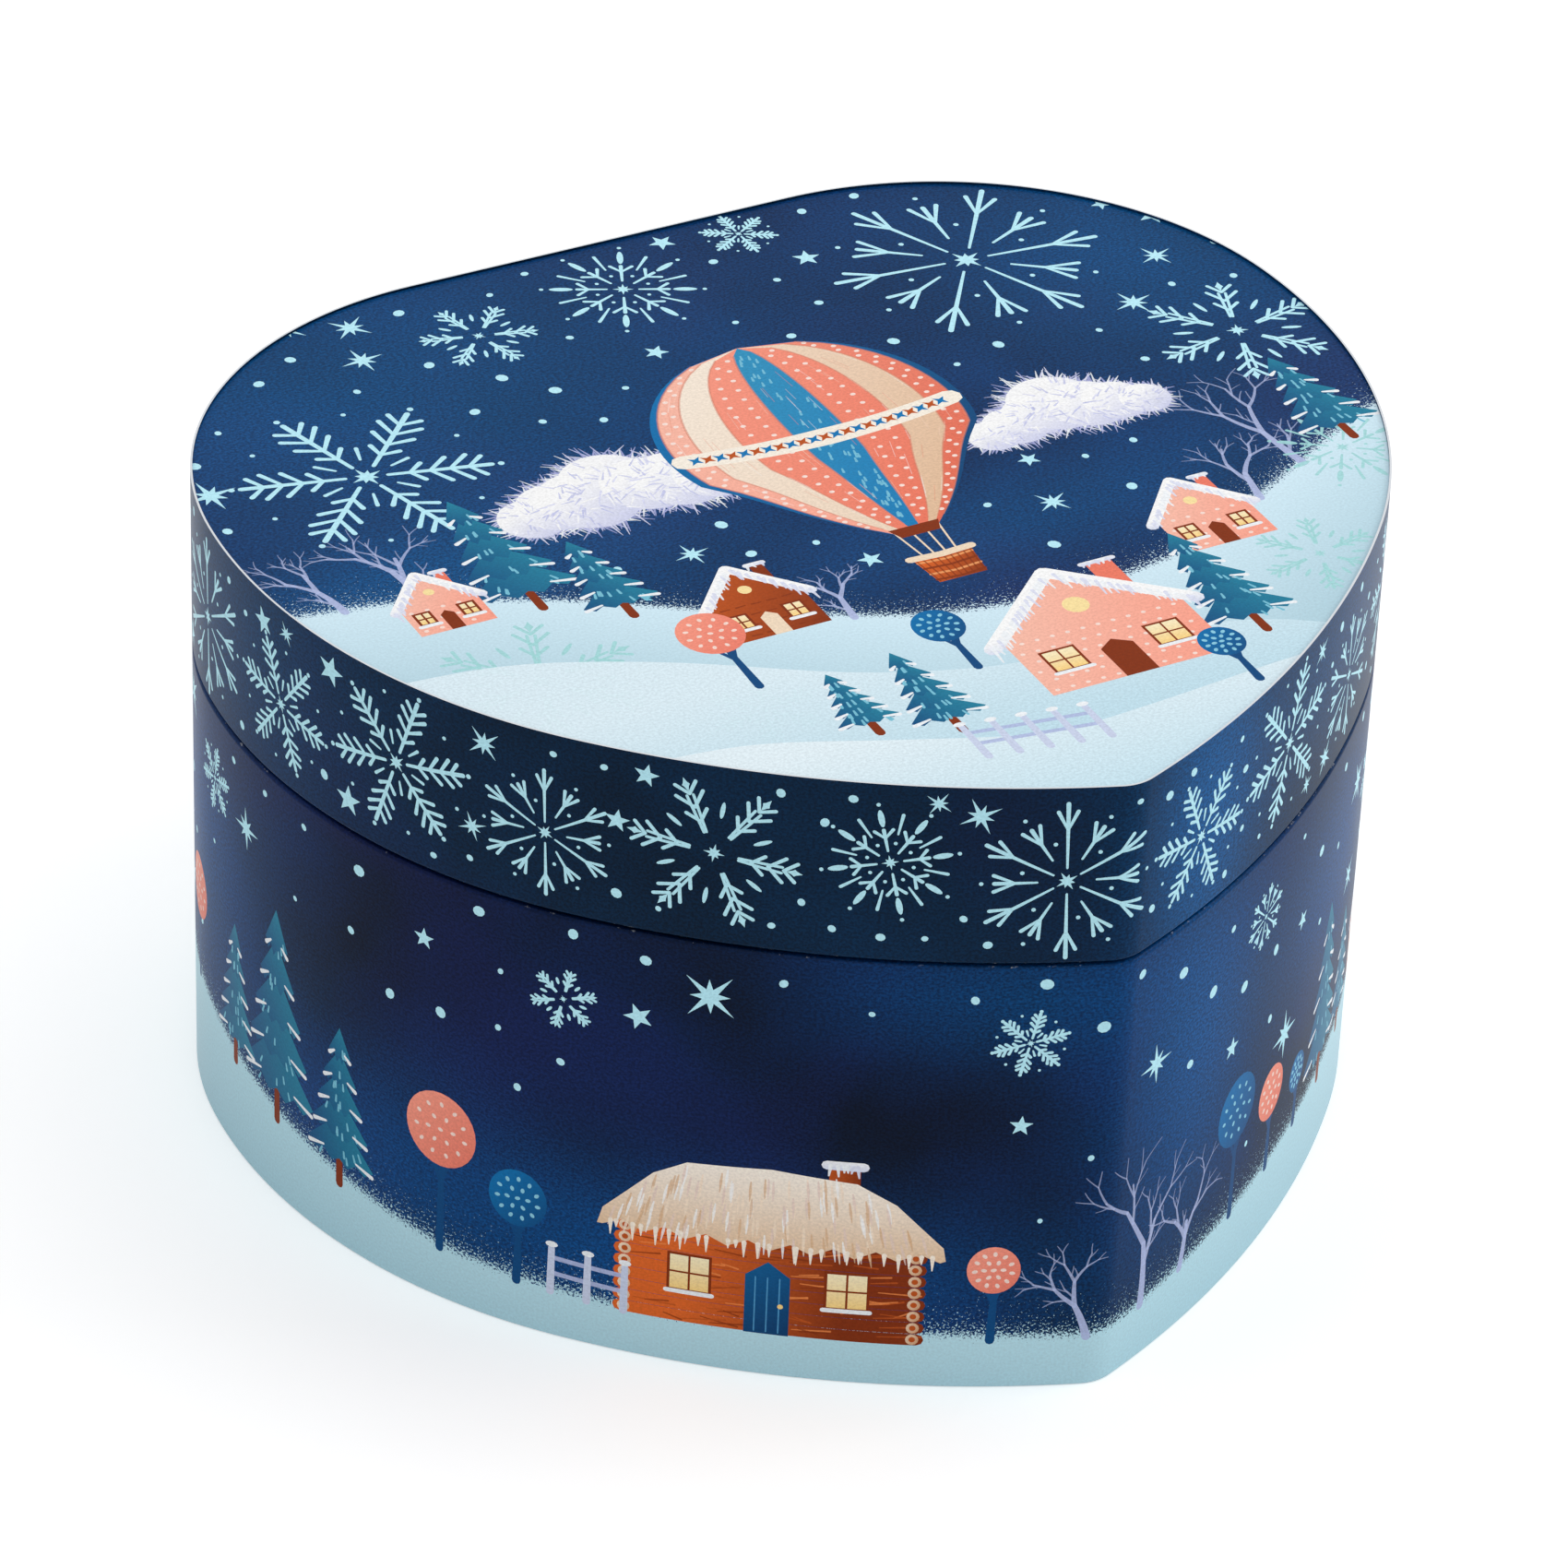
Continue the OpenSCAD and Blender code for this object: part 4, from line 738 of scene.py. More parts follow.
def pulp_board(name, colour, fleck):
    """Board or uncoated paper: matt, with pressed fibres in a darker tone, 3 mm long and 1 mm wide."""
    finish, tree, surface = start_finish(name)
    place = add(tree, "ShaderNodeTexCoord")
    lay = add(tree, "ShaderNodeMapping", {"Vector": (place, "Object"), "Scale": (900.0, 350.0, 900.0)})
    fibres = add(tree, "ShaderNodeTexNoise", {"Vector": lay, "Scale": 1.0, "Detail": 5.0, "Roughness": 0.75})
    clumps = add(tree, "ShaderNodeTexNoise", {"Vector": (place, "Object"), "Scale": 160.0, "Detail": 2.0})
    share = add(tree, "ShaderNodeMath", {0: fibres, 1: clumps}, operation="MULTIPLY")
    share = add(tree, "ShaderNodeMapRange", {"Value": share, "From Min": 0.16, "From Max": 0.34})
    tone = add(tree, "ShaderNodeMix", {0: share, 6: linear(fleck), 7: linear(colour)}, data_type="RGBA")
    pressed = add(tree, "ShaderNodeBump", {"Height": fibres, "Strength": 0.3, "Distance": 0.0001})
    join(tree, surface, {
        "Base Color": (tone, 2), "Roughness": 0.88, "Normal": pressed, "Specular IOR Level": 0.25})
    return finish


def dress(finish, *nodes):
    """These pieces keep the frame's shape and take this finish."""
    for node in nodes:
        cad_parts[node].data.materials.clear()
        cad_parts[node].data.materials.append(finish)


grey_board = pulp_board("grey_pulp_board", "#9a958c", "#6f6a62")
dress(grey_board, "base_board", "base_floor", "lid_board", "lid_top_board")
dress(pulp_board("underside_paper", "#dfe3e6", "#b9bec4"), "underside_sheet")

# ---- Flocked lining, dividers and housing ----
# Thin card covered with short blue rayon flock, glued inside the walls. It is matt and deep,
# paler where the nap leans away, and its cut edges are rounded over.


def flock(name, colour, nap):
    """Rayon flock 0.5 mm long: no gloss, a pale sheen at the rim, and brushed patches in the nap."""
    finish, tree, surface = start_finish(name)
    place = add(tree, "ShaderNodeTexCoord")
    brushed = add(tree, "ShaderNodeTexNoise", {
        "Vector": (place, "Object"), "Scale": 55.0, "Detail": 2.0, "Distortion": 0.8})
    # Fibre tips, drawn 0.3 mm apart so that they show
    tips = add(tree, "ShaderNodeTexNoise", {"Vector": (place, "Object"), "Scale": 3200.0, "Detail": 1.0})
    lean = add(tree, "ShaderNodeMapRange", {"Value": brushed, "From Min": 0.25, "From Max": 0.85})
    tone = add(tree, "ShaderNodeMix", {0: lean, 6: linear(colour), 7: linear(nap)}, data_type="RGBA")
    tone = vary(tree, (tone, 2), tips, (0.3, 0.7), (0.72, 1.22))
    pile = add(tree, "ShaderNodeBump", {"Height": tips, "Strength": 0.6, "Distance": 0.0003})
    join(tree, surface, {"Base Color": tone, "Roughness": 1.0, "Normal": pile, "Specular IOR Level": 0.1,
                         "Sheen Weight": 0.45, "Sheen Roughness": 0.45, "Sheen Tint": linear("#a9c6f0")})
    return finish


def settle(piece):
    """Turns a piece with modifiers into a plain mesh."""
    shaped = piece.evaluated_get(bpy.context.evaluated_depsgraph_get())
    mesh = bpy.data.meshes.new_from_object(shaped)
    mesh.name = piece.name
    piece.modifiers.clear()
    piece.data = mesh


def soften(node, name, radius, finish, body, clamp=True):
    """The frame's own shape with its hard edges rounded, standing for the node."""
    shell = bmesh.new()
    shell.from_mesh(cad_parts[node].data)
    bmesh.ops.remove_doubles(shell, verts=shell.verts, dist=1e-6)
    bmesh.ops.dissolve_limit(shell, angle_limit=0.02, verts=shell.verts, edges=shell.edges)
    mesh = bpy.data.meshes.new(name)
    shell.to_mesh(mesh)
    shell.free()
    piece = finished(name, mesh, finish)
    rounding = piece.modifiers.new("rounding", "BEVEL")
    rounding.width, rounding.segments, rounding.angle_limit = radius * MM, 3, math.radians(40)
    rounding.harden_normals, rounding.use_clamp_overlap = True, clamp
    settle(piece)
    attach(piece, body)
    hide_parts(node)


blue_flock = flock("blue_flock", "#1c4686", "#2c5da6")
dress(blue_flock, "base_lining", "lid_lining")
soften("left_divider", "left_divider_card", 0.5, blue_flock, "case")
soften("right_divider", "right_divider_card", 0.5, blue_flock, "case")
soften("movement_housing", "movement_housing_card", 0.5, blue_flock, "case")
soften("lid_stop_block", "stop_block", 0.6, blue_flock, "lid")

# ---- Floor pad ----
# A thin foam board under the same flock, cut round the movement's housing. Its edges are
# tucked down against the walls, and its top is drawn flat.

housing_side, housing_front = 28.2, 41.6    # the pad's cut-out round the movement's housing
clear_of_cut = 31    # the back wall's facets start this far from its middle
wall_gap = 3.25    # from the wrap's face to the pad's edge


def pad_ring(tuck, z):
    """The pad's outline drawn in from its edge by tuck, clockwise from the housing's right side."""
    side, front = housing_side + tuck, housing_front - tuck
    steps = [u for u in reversed(round_steps((6, 30, 30, 30, 3))) if abs(u) < half_round - clear_of_cut]
    point, out = outline(np.array([half_round - side] + steps + [side - half_round]))
    ring = point - (wall_gap + tuck) * out
    return np.vstack([np.column_stack([ring, np.full(len(ring), z)]), [(-side, front, z), (side, front, z)]])


def face_out(piece):
    """Closes a mesh's seams and turns its faces outwards."""
    shell = bmesh.new()
    shell.from_mesh(piece.data)
    bmesh.ops.remove_doubles(shell, verts=shell.verts, dist=1e-7)
    bmesh.ops.recalc_face_normals(shell, faces=shell.faces)
    shell.to_mesh(piece.data)
    shell.free()
    return piece


pad_steps = ((0, 2.6), (0, 3.2), (0.12, 3.7), (0.4, 3.98), (0.9, 4.08), (1.5, 4.1))
pad_rings = [pad_ring(tuck, z) for tuck, z in pad_steps]
size = len(pad_rings[0])
pad_faces = []
for low in range(0, (len(pad_rings) - 1) * size, size):
    high = low + size
    pad_faces += [(low + i, high + i, high + (i + 1) % size, low + (i + 1) % size) for i in range(size)]
pad_faces += [list(range(size)), list(reversed(range(high, high + size)))]
pad_flock = flock("pad_flock", "#1f4d90", "#3266b0")
pad = face_out(make_mesh("floor_pad_foam", np.vstack(pad_rings), pad_faces, pad_flock))
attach(pad, "case")
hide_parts("floor_pad")

# ---- Ring cushion ----
# Seven velvet rolls stuffed with foam, sewn side by side. Rings stand in the slits between
# them. Each roll is fullest in the middle and is gathered into a seam at its two ends.


def box_mm(node):
    """A plain node's lowest and highest corner, in millimetres."""
    return [np.array([float(c) for c in corner]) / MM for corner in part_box(node)]


def stacked(rings, sides, first=0):
    """Faces between closed rings of points laid one after another from a first point, with flat ends."""
    faces = []
    for low in range(first, first + (rings - 1) * sides, sides):
        for j in range(sides):
            n = (j + 1) % sides
            faces.append((low + j, low + n, low + sides + n, low + sides + j))
    top = first + (rings - 1) * sides
    return faces + [list(reversed(range(first, first + sides))), list(range(top, top + sides))]


def toward_square(wave, power):
    """A sine or cosine with its crests flattened."""
    return math.copysign(abs(wave) ** power, wave)


low, high = box_mm("ring_cushion")
centre_x, _, centre_z = (low + high) / 2
half_long, half_high = (high[0] - low[0]) / 2, (high[2] - low[2]) / 2
rolls, around, along = 7, 28, 19
pitch = (high[1] - low[1]) / rolls
roll_places, roll_faces = [], []
pick = random.Random(17)
for k in range(rolls):
    centre = low[1] + (k + 0.5) * pitch
    lean, swell = pick.uniform(-0.12, 0.12), pick.uniform(0.97, 1.0)
    roll_faces += stacked(along, around, len(roll_places))
    for i in range(along):
        t = i / (along - 1) * 2 - 1
        full = swell * (1 - abs(t) ** 7 * 0.62) * (1 - 0.03 * math.cos(9 * t + k))
        x = centre_x + (math.sin(t * math.pi / 2) * 0.55 + t * 0.45) * half_long
        for j in range(around):
            a = j / around * 2 * math.pi
            y = toward_square(math.cos(a), 0.72) * (pitch / 2 - 0.08) * full
            z = toward_square(math.sin(a), 0.8 if math.sin(a) > 0 else 0.5)
            lift = z * half_high * (full if z > 0 else 1)
            roll_places.append((x, centre + y + lean * (1 + z), centre_z + lift))
coral_velvet = flock("coral_velvet", "#e9765f", "#ffb49f")
cushion = face_out(make_mesh("ring_cushion_rolls", roll_places, roll_faces, coral_velvet))
smooth = cushion.modifiers.new("smooth", "SUBSURF")
smooth.levels = smooth.render_levels = 1
settle(cushion)
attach(cushion, "case")
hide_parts("ring_cushion")

# ---- Movement ----
# An eighteen-note cylinder movement on a nickelled bedplate: brass wheels and cylinder,
# tempered steel comb and springs, a zinc comb block and a moulded fan. It works under the deck.


def uneven(tree, colour, scale, detail, shares, between=(0.0, 1.0)):
    """A colour that varies over a piece between two shares of itself, with its place and its noise."""
    place = add(tree, "ShaderNodeTexCoord")
    noise = add(tree, "ShaderNodeTexNoise", {"Vector": (place, "Object"), "Scale": scale, "Detail": detail})
    return vary(tree, linear(colour)[:3], noise, between, shares), place, noise


def metal(name, colour, rough, scratch, grain=(4000.0, 250.0, 4000.0)):
    """Bare or plated metal, a bit uneven from handling. Fine lines vary its roughness: grain is how many
    of them fit in a metre along each axis."""
    finish, tree, surface = start_finish(name)
    tone, place, _ = uneven(tree, colour, 140.0, 2.0, (1.03, 0.86), (0.3, 0.75))
    lay = add(tree, "ShaderNodeMapping", {"Vector": (place, "Object"), "Scale": grain})
    lines = add(tree, "ShaderNodeTexNoise", {"Vector": lay, "Scale": 1.0, "Detail": 3.0})
    brushed = add(tree, "ShaderNodeMapRange", {"Value": lines, "From Min": 0.3, "From Max": 0.7,
                                               "To Min": rough - scratch, "To Max": rough + scratch})
    join(tree, surface, {"Base Color": tone, "Metallic": 1.0, "Roughness": brushed})
    return finish


brass = metal("polished_brass", "#dcc084", 0.24, 0.1)
steel = metal("bright_steel", "#c9ccd2", 0.28, 0.1)
spring_steel = metal("blued_spring_steel", "#8f9db4", 0.3, 0.1)
nickel = metal("nickel_plate", "#d2d0c8", 0.3, 0.12, (350.0, 350.0, 5000.0))
zinc = metal("cast_zinc", "#b9bbbd", 0.45, 0.12, (900.0, 900.0, 900.0))
dress(brass, "drive_wheel", "cylinder_barrel", "cylinder_pinion", "cylinder_wheel", "governor_wheel")
dress(steel, "winding_shaft", "cylinder_pins", "cylinder_arbor", "worm_shaft", "stop_rod", "hinge_pins",
      "spring_housing", "bedplate_screws", "comb_screws", "governor_frame")
dress(spring_steel, "mainspring", "comb", "ratchet_wheel", "ratchet_click")
soften("bedplate", "nickel_bedplate", 0.2, nickel, "case")
soften("cylinder_bridge", "nickel_bridge", 0.15, nickel, "case")
soften("comb_plate", "zinc_comb_block", 0.25, zinc, "case")


def moulded_plastic(name, colour):
    """Injection-moulded acetal: slightly waxy, with a faint flow mottle 4 mm across from the mould."""
    finish, tree, surface = start_finish(name)
    tone, _, flow = uneven(tree, colour, 260.0, 3.0, (0.94, 1.04))
    fine = add(tree, "ShaderNodeBump", {"Height": flow, "Strength": 0.08, "Distance": 0.0001})
    join(tree, surface, {"Base Color": tone, "Roughness": 0.4, "Normal": fine, "Subsurface Weight": 0.05,
                         "Subsurface Scale": 0.001})
    return finish


dress(moulded_plastic("fan_acetal", "#e8e2d2"), "governor_fan")

# ---- Stage deck and collar ----
# Card laid over the housing and covered with pale paper like fresh ice, with a brass collar
# pressed in where the turning arbor comes through.


def ice_paper(name, colour, marks_and_glints):
    """Uncoated pale paper printed with faint skate marks, curved and 4.5 mm apart, and with white specks
    2.4 mm apart that are painted glints."""
    finish, tree, surface = start_finish(name)
    place = add(tree, "ShaderNodeTexCoord")
    centre = add(tree, "ShaderNodeMapping", {"Vector": (place, "Object"), "Location": (0.012, -0.04, 0.0)})
    marks = add(tree, "ShaderNodeTexWave", {
        "Vector": centre, "Scale": 70.0, "Distortion": 9.0, "Detail": 3.0},
        wave_type="RINGS", rings_direction="Z")
    thin = add(tree, "ShaderNodeMapRange", {
        "Value": (marks, "Fac"), "From Min": 0.955, "From Max": 1.0, "To Max": 0.4})
    # White specks 2.4 mm apart, put into the colour: painted glints
    specks = add(tree, "ShaderNodeTexVoronoi", {"Vector": (place, "Object"), "Scale": 420.0})
    dots = add(tree, "ShaderNodeMapRange", {
        "Value": (specks, "Distance"), "From Min": 0.14, "From Max": 0.1, "To Max": 0.8})
    share = add(tree, "ShaderNodeMath", {0: thin, 1: dots}, operation="MAXIMUM")
    tone = add(tree, "ShaderNodeMix", {0: share, 6: linear(colour), 7: linear(marks_and_glints)}, data_type="RGBA")
    fibres = add(tree, "ShaderNodeTexNoise", {"Vector": (place, "Object"), "Scale": 1500.0, "Detail": 3.0})
    felt = add(tree, "ShaderNodeBump", {"Height": fibres, "Strength": 0.12, "Distance": 0.0001})
    join(tree, surface, {
        "Base Color": (tone, 2), "Roughness": 0.6, "Normal": felt, "Specular IOR Level": 0.35})
    return finish


soften("stage_deck", "ice_deck", 0.35, ice_paper("ice_paper", "#bfe0ee", PURE_WHITE), "case")
soften("stage_collar", "brass_collar", 0.2, brass, "case")

# ---- Turning disc ----
# A lacquered wooden disc that carries the figure round, white like ice, with a rolled brass
# rim pressed on. Its edge is rounded and its top is very slightly dished.


def lathe(profile, sides=96, waves=None):
    """A closed turned shape round the disc's axis, from (r, z) points. waves(angle, z) changes the radius."""
    places = []
    for r, z in profile:
        for j in range(sides):
            a = j / sides * 2 * math.pi
            w = r * (waves(a, z) if waves else 1)
            places.append((w * math.cos(a), axis_y + w * math.sin(a), z))
    return places, stacked(len(profile), sides)


def hoop(r, z, thick, squash, sides=96, turns=12):
    """A closed ring of round section about the disc's axis."""
    places, faces = [], []
    for j in range(sides):
        a = j / sides * 2 * math.pi
        for k in range(turns):
            b = k / turns * 2 * math.pi
            w = r + thick * math.cos(b)
            places.append((w * math.cos(a), axis_y + w * math.sin(a), z + thick * squash * math.sin(b)))
            n, m = (j + 1) % sides, (k + 1) % turns
            faces.append((j * turns + k, n * turns + k, n * turns + m, j * turns + m))
    return places, faces


def lacquer(name, colour):
    """Brushed-on lacquer over wood: a wet-looking coat with a faint ripple 2.4 mm across."""
    finish, tree, surface = start_finish(name)
    tone, _, ripple = uneven(tree, colour, 420.0, 2.0, (0.93, 1.04))
    coat = add(tree, "ShaderNodeBump", {"Height": ripple, "Strength": 0.1, "Distance": 0.0002})
    join(tree, surface, {"Base Color": tone, "Roughness": 0.45, "Normal": coat,
                         "Coat Weight": 0.6, "Coat Roughness": 0.22})
    return finish


low, high = box_mm("turning_disc")
axis_y = (low[1] + high[1]) / 2
disc_r, disc_low, disc_top = high[0], low[2], high[2]
disc_profile = [
    (disc_r - 0.6, disc_low), (disc_r - 0.2, disc_low + 0.15), (disc_r - 0.05, disc_low + 0.5),
    (disc_r - 0.05, disc_top - 0.5), (disc_r - 0.3, disc_top - 0.1), (disc_r - 0.8, disc_top),
    (1.5, disc_top - 0.03)]
disc = make_mesh("ice_disc", *lathe(disc_profile), lacquer("ice_lacquer", "#e8f3fa"))
rim_ring = make_mesh("disc_rim", *hoop(disc_r - 0.22, (disc_low + disc_top) / 2, 0.2, 2.2), brass)
for piece in (disc, rim_ring):
    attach(piece, "cylinder")
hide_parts("turning_disc")

# ---- Figure ----
# A small turned-wood skater, hand painted: a flared coat with fur trim, folded sleeves, a
# plain doll's face with dots for eyes, and a knitted hat with a pompom.

low, high = box_mm("figure_body")
foot_z, neck_z = low[2], high[2]
skirt_r = (high[1] - low[1]) / 2
waist_z = foot_z + (neck_z - foot_z) * 0.656


def painted(name, colour, dots=None):
    """Matt acrylic paint on smooth limewood, with dots 1.6 mm apart where dots gives their colour. The
    brush leaves marks 1.7 mm wide."""
    finish, tree, surface = start_finish(name)
    tone, place, wash = uneven(tree, colour, 600.0, 3.0, (0.92, 1.05), (0.3, 0.7))
    if dots:
        cells = add(tree, "ShaderNodeTexVoronoi", {
            "Vector": (place, "Object"), "Scale": 1 / 0.0016, "Randomness": 0.25})
        spot = add(tree, "ShaderNodeMapRange", {
            "Value": (cells, "Distance"), "From Min": 0.26, "From Max": 0.2})
        tone = (add(tree, "ShaderNodeMix", {0: spot, 6: tone, 7: linear(dots)}, data_type="RGBA"), 2)
    brush = add(tree, "ShaderNodeBump", {"Height": wash, "Strength": 0.15, "Distance": 0.0001})
    join(tree, surface, {"Base Color": tone, "Roughness": 0.5, "Normal": brush})
    return finish


def fluffy(name, places, faces, finish, depth, seed):
    """A turned shape with its points pulled out unevenly, like a curl of plush."""
    pick = random.Random(seed)
    piece = face_out(make_mesh(name, places, faces, finish))
    for v in piece.data.vertices:
        v.co += v.normal * depth * MM * pick.uniform(-0.6, 1.0)
    return piece


def folds(a, z):
    """Fourteen folds that deepen from the waist to the hem."""
    return 1 + 0.035 * max(0.0, (waist_z - z) / (waist_z - foot_z)) * math.cos(14 * a) - 0.035


# From the hem to the neck: a share of the skirt's radius less a hem in mm, and a height
coat_profile = [(skirt_r * share - hem, z) for share, hem, z in (
    (1, 1.0, foot_z + 0.05), (1, 0.25, foot_z + 0.2), (1, 0.1, foot_z + 0.8), (0.93, 0, foot_z + 2.4),
    (0.8, 0, foot_z + 5.2), (0.62, 0, foot_z + 8.6), (0.5, 0, waist_z - 0.7), (0.475, 0, waist_z),
    (0.52, 0, waist_z + 1.2), (0.58, 0, waist_z + 3.2), (0.56, 0, waist_z + 4.3), (0.45, 0, waist_z + 5.3),
    (0.34, 0, neck_z - 0.2), (0.3, 0, neck_z))]
coral_coat = painted("coral_coat_paint", "#f58f78", "#fde3d8")
coat = make_mesh("figure_coat", *lathe(coat_profile, 112, folds), coral_coat)
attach(coat, "cylinder")
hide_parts("figure_body")


def tube(path, radii, sides=16):
    """A closed round limb along a path of points."""
    path = [Vector([float(c) for c in p]) for p in path]
    places = []
    for i, (p, r) in enumerate(zip(path, radii)):
        way = (path[min(i + 1, len(path) - 1)] - path[max(i - 1, 0)]).normalized()
        side = way.cross(Vector((0, 0, 1)) if abs(way.z) < 0.9 else Vector((0, 1, 0))).normalized()
        other = side.cross(way)
        for j in range(sides):
            a = j / sides * 2 * math.pi
            places.append(tuple(p + (side * math.cos(a) + other * math.sin(a)) * r))
    return places, [face[::-1] for face in stacked(len(path), sides)]


plush = painted("white_plush_paint", "#f3f2f8")
skin = painted("doll_skin_paint", "#f5d3bd")
mitten_wool = painted("mitten_paint", "#0f6fab")
shoulder_z = waist_z + 4.2
for side, name in ((-1, "left"), (1, "right")):
    shoulder = np.array([side * skirt_r * 0.46, axis_y, shoulder_z])
    elbow = np.array([side * skirt_r * 0.84, axis_y - 0.3, shoulder_z - 1.6])
    hand = np.array([side * skirt_r * 0.98, axis_y - 0.7, shoulder_z - 2.2])
    finger = hand + [side * 0.5, -0.1, -0.2]
    sleeve = tube([shoulder, (shoulder + elbow) / 2, elbow], (1.45, 1.4, 1.15))
    arm = face_out(make_mesh(f"{name}_sleeve", *sleeve, coral_coat))
    cuff = fluffy(f"{name}_cuff", *tube([elbow, (elbow + hand) / 2], (1.3, 1.3)), plush, 0.12, 3)
    palm = tube([elbow, hand, finger], (0.8, 0.95, 0.4))
    mitten = face_out(make_mesh(f"{name}_mitten", *palm, mitten_wool))
    for piece, slot in ((arm, "figure_coral"), (cuff, "disc_lacquer"), (mitten, "figure_blue")):
        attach(piece, "cylinder")


def roll(name, r, z, thick, squash, seed):
    """A ring of plush round the figure."""
    piece = fluffy(name, *hoop(r, z, thick, squash, 80), plush, 0.22, seed)
    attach(piece, "cylinder")


roll("hem_fur", skirt_r - 0.75, foot_z + 0.75, 0.55, 1.15, 1)
roll("collar_fur", skirt_r * 0.36, neck_z - 0.35, 0.75, 0.8, 2)

low, high = box_mm("figure_head")
head_r = (high[1] - low[1]) / 2
head_z = high[2] - head_r


def globe(r, z, top=1.0, bottom=-1.0, steps=24):
    """The profile of a ball, cut at these shares of its half height, or just short of its poles."""
    start = math.asin(bottom) + (0.02 if bottom == -1 else 0)
    end = math.asin(top) - (0.02 if top == 1 else 0)
    return [(r * math.cos(a), z + r * math.sin(a)) for a in np.linspace(start, end, steps)]


head = make_mesh("figure_face", *lathe(globe(head_r - 0.02, head_z, bottom=-0.84), 64), skin)
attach(head, "cylinder")
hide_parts("figure_head")


def on_face(name, turn, rise, rx, rz, finish, deep=0.12):
    """A low painted drop on the face, turned sideways and up from its middle."""
    spot = bmesh.new()
    bmesh.ops.create_uvsphere(spot, u_segments=20, v_segments=12, radius=1.0)
    mesh = bpy.data.meshes.new(name)
    centre = Vector((math.sin(turn) * math.cos(rise), -math.cos(turn) * math.cos(rise), math.sin(rise)))
    face_on = centre.to_track_quat("Z", "Y").to_matrix().to_4x4()
    for v in spot.verts:
        v.co = Vector((v.co.x * rx, v.co.y * rz, v.co.z * deep))
        v.co = (face_on @ v.co + centre * (head_r - 0.04) + Vector((0, axis_y, head_z))) * MM
    spot.to_mesh(mesh)
    spot.free()
    piece = finished(name, mesh, finish)
    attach(piece, "cylinder")


eye_paint = lacquer("eye_paint", "#2b1a16")
blush = painted("blush_paint", "#f0a08d")
for side, name in ((-1, "left"), (1, "right")):
    on_face(f"{name}_eye", side * 0.36, -0.04, 0.3, 0.42, eye_paint)
    on_face(f"{name}_cheek", side * 0.62, -0.34, 0.62, 0.5, blush, 0.06)
on_face("mouth", 0.0, -0.46, 0.42, 0.12, painted("mouth_paint", "#c9574a"), 0.08)
on_face("nose", 0.0, -0.2, 0.24, 0.22, blush, 0.2)

hair_paint = painted("hair_paint", "#a8521f")


def brushed_back(a, _):
    """The hair lies close to the head, in strands, and leaves the face bare."""
    from_face = abs((a + math.pi / 2 + math.pi) % (2 * math.pi) - math.pi)
    return 1.0 + 0.01 * math.cos(26 * a) - 0.1 * min(max((1.12 - from_face) / 0.2, 0), 1)


hair_profile = globe(head_r + 0.2, head_z, top=0.6, bottom=-0.5)
hair = make_mesh("figure_hair", *lathe(hair_profile, 96, brushed_back), hair_paint)
bun_path = [(0, axis_y + head_r * back, head_z + head_r * up)
            for back, up in ((0.72, -0.05), (0.98, -0.2), (1.05, -0.36), (0.95, -0.56))]
bun = face_out(make_mesh("figure_bun", *tube(bun_path, (1.2, 1.45, 1.3, 0.5), 20), hair_paint))
for piece in (hair, bun):
    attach(piece, "cylinder")

low, high = box_mm("figure_hat")
hat_r, hat_low, hat_top = (high[1] - low[1]) / 2, low[2], high[2]


def knit(name, colour, dark):
    """Painted knit, matt and soft: slightly wavy rows of stitches, drawn 0.7 mm high, with painted
    shade in the grooves between them.
    """
    finish, tree, surface = start_finish(name)
    place = add(tree, "ShaderNodeTexCoord")
    ribs = add(tree, "ShaderNodeTexWave", {
        "Vector": (place, "Object"), "Scale": 430.0, "Distortion": 1.2, "Detail": 1.0}, bands_direction="Z")
    # The grooves between the rows take the dark colour: painted shade
    tone = add(tree, "ShaderNodeMix", {
        0: (ribs, "Fac"), 6: linear(dark), 7: linear(colour)}, data_type="RGBA")
    raised = add(tree, "ShaderNodeBump", {"Height": (ribs, "Fac"), "Strength": 0.6, "Distance": 0.0002})
    join(tree, surface, {"Base Color": (tone, 2), "Roughness": 0.85, "Normal": raised, "Sheen Weight": 0.3})
    return finish


hat_profile = [(hat_r - 0.35, hat_low + 0.1), *globe(hat_r - 0.06, head_z, top=0.98, bottom=0.2, steps=16),
               (0.9, head_z + hat_r), (0.7, hat_top - 2.2)]
hat = make_mesh("figure_hat_knit", *lathe(hat_profile, 96, lambda a, z: 1 + 0.012 * math.cos(30 * a) - 0.012),
                knit("blue_knit", "#2f86b8", "#125a8c"))
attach(hat, "cylinder")
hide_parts("figure_hat")
roll("hat_fur", hat_r - 0.45, hat_low + 0.55, 0.5, 1.2, 4)
pompom = fluffy("pompom", *lathe(globe(1.15, hat_top - 1.35, steps=16), 36), plush, 0.18, 9)
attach(pompom, "cylinder")

# ---- Lid wrap ----
# The same film-covered paper round the lid's wall: a frieze of large snowflakes on dark navy.
# Its upper edge is cut, not turned in, and stands up round the top sheet as a thin white line.

lid_art = Art()
lid_z, top_z = 69.5, 97    # the lid wall's lower edge, and the cut edge round the top
frieze_z, flakes = 83.2, 22
frieze = []
for i in range(flakes):
    u = -half_round + (i + 0.62) * 2 * half_round / flakes
    rise, r, kind = ((1.0, 11.8, 0), (-1.6, 9.6, 2), (0.4, 11.0, 3), (1.8, 9.0, 1), (-0.6, 12.0, 2),
                     (-1.2, 10.0, 0))[i % 6]
    frieze.append((u, frieze_z + rise, r - 1.4))
    lid_art.snowflake((u, frieze_z + rise), r, kind, 0.2 + 0.35 * i)
gaps = scatter((-249, 72.2), (249, 94.5), count=150, gap=5.0, keep_off=frieze, seed=23)
lid_art.night(gaps, seed=29, sizes=(0.4, 0.85), largest=3.1)

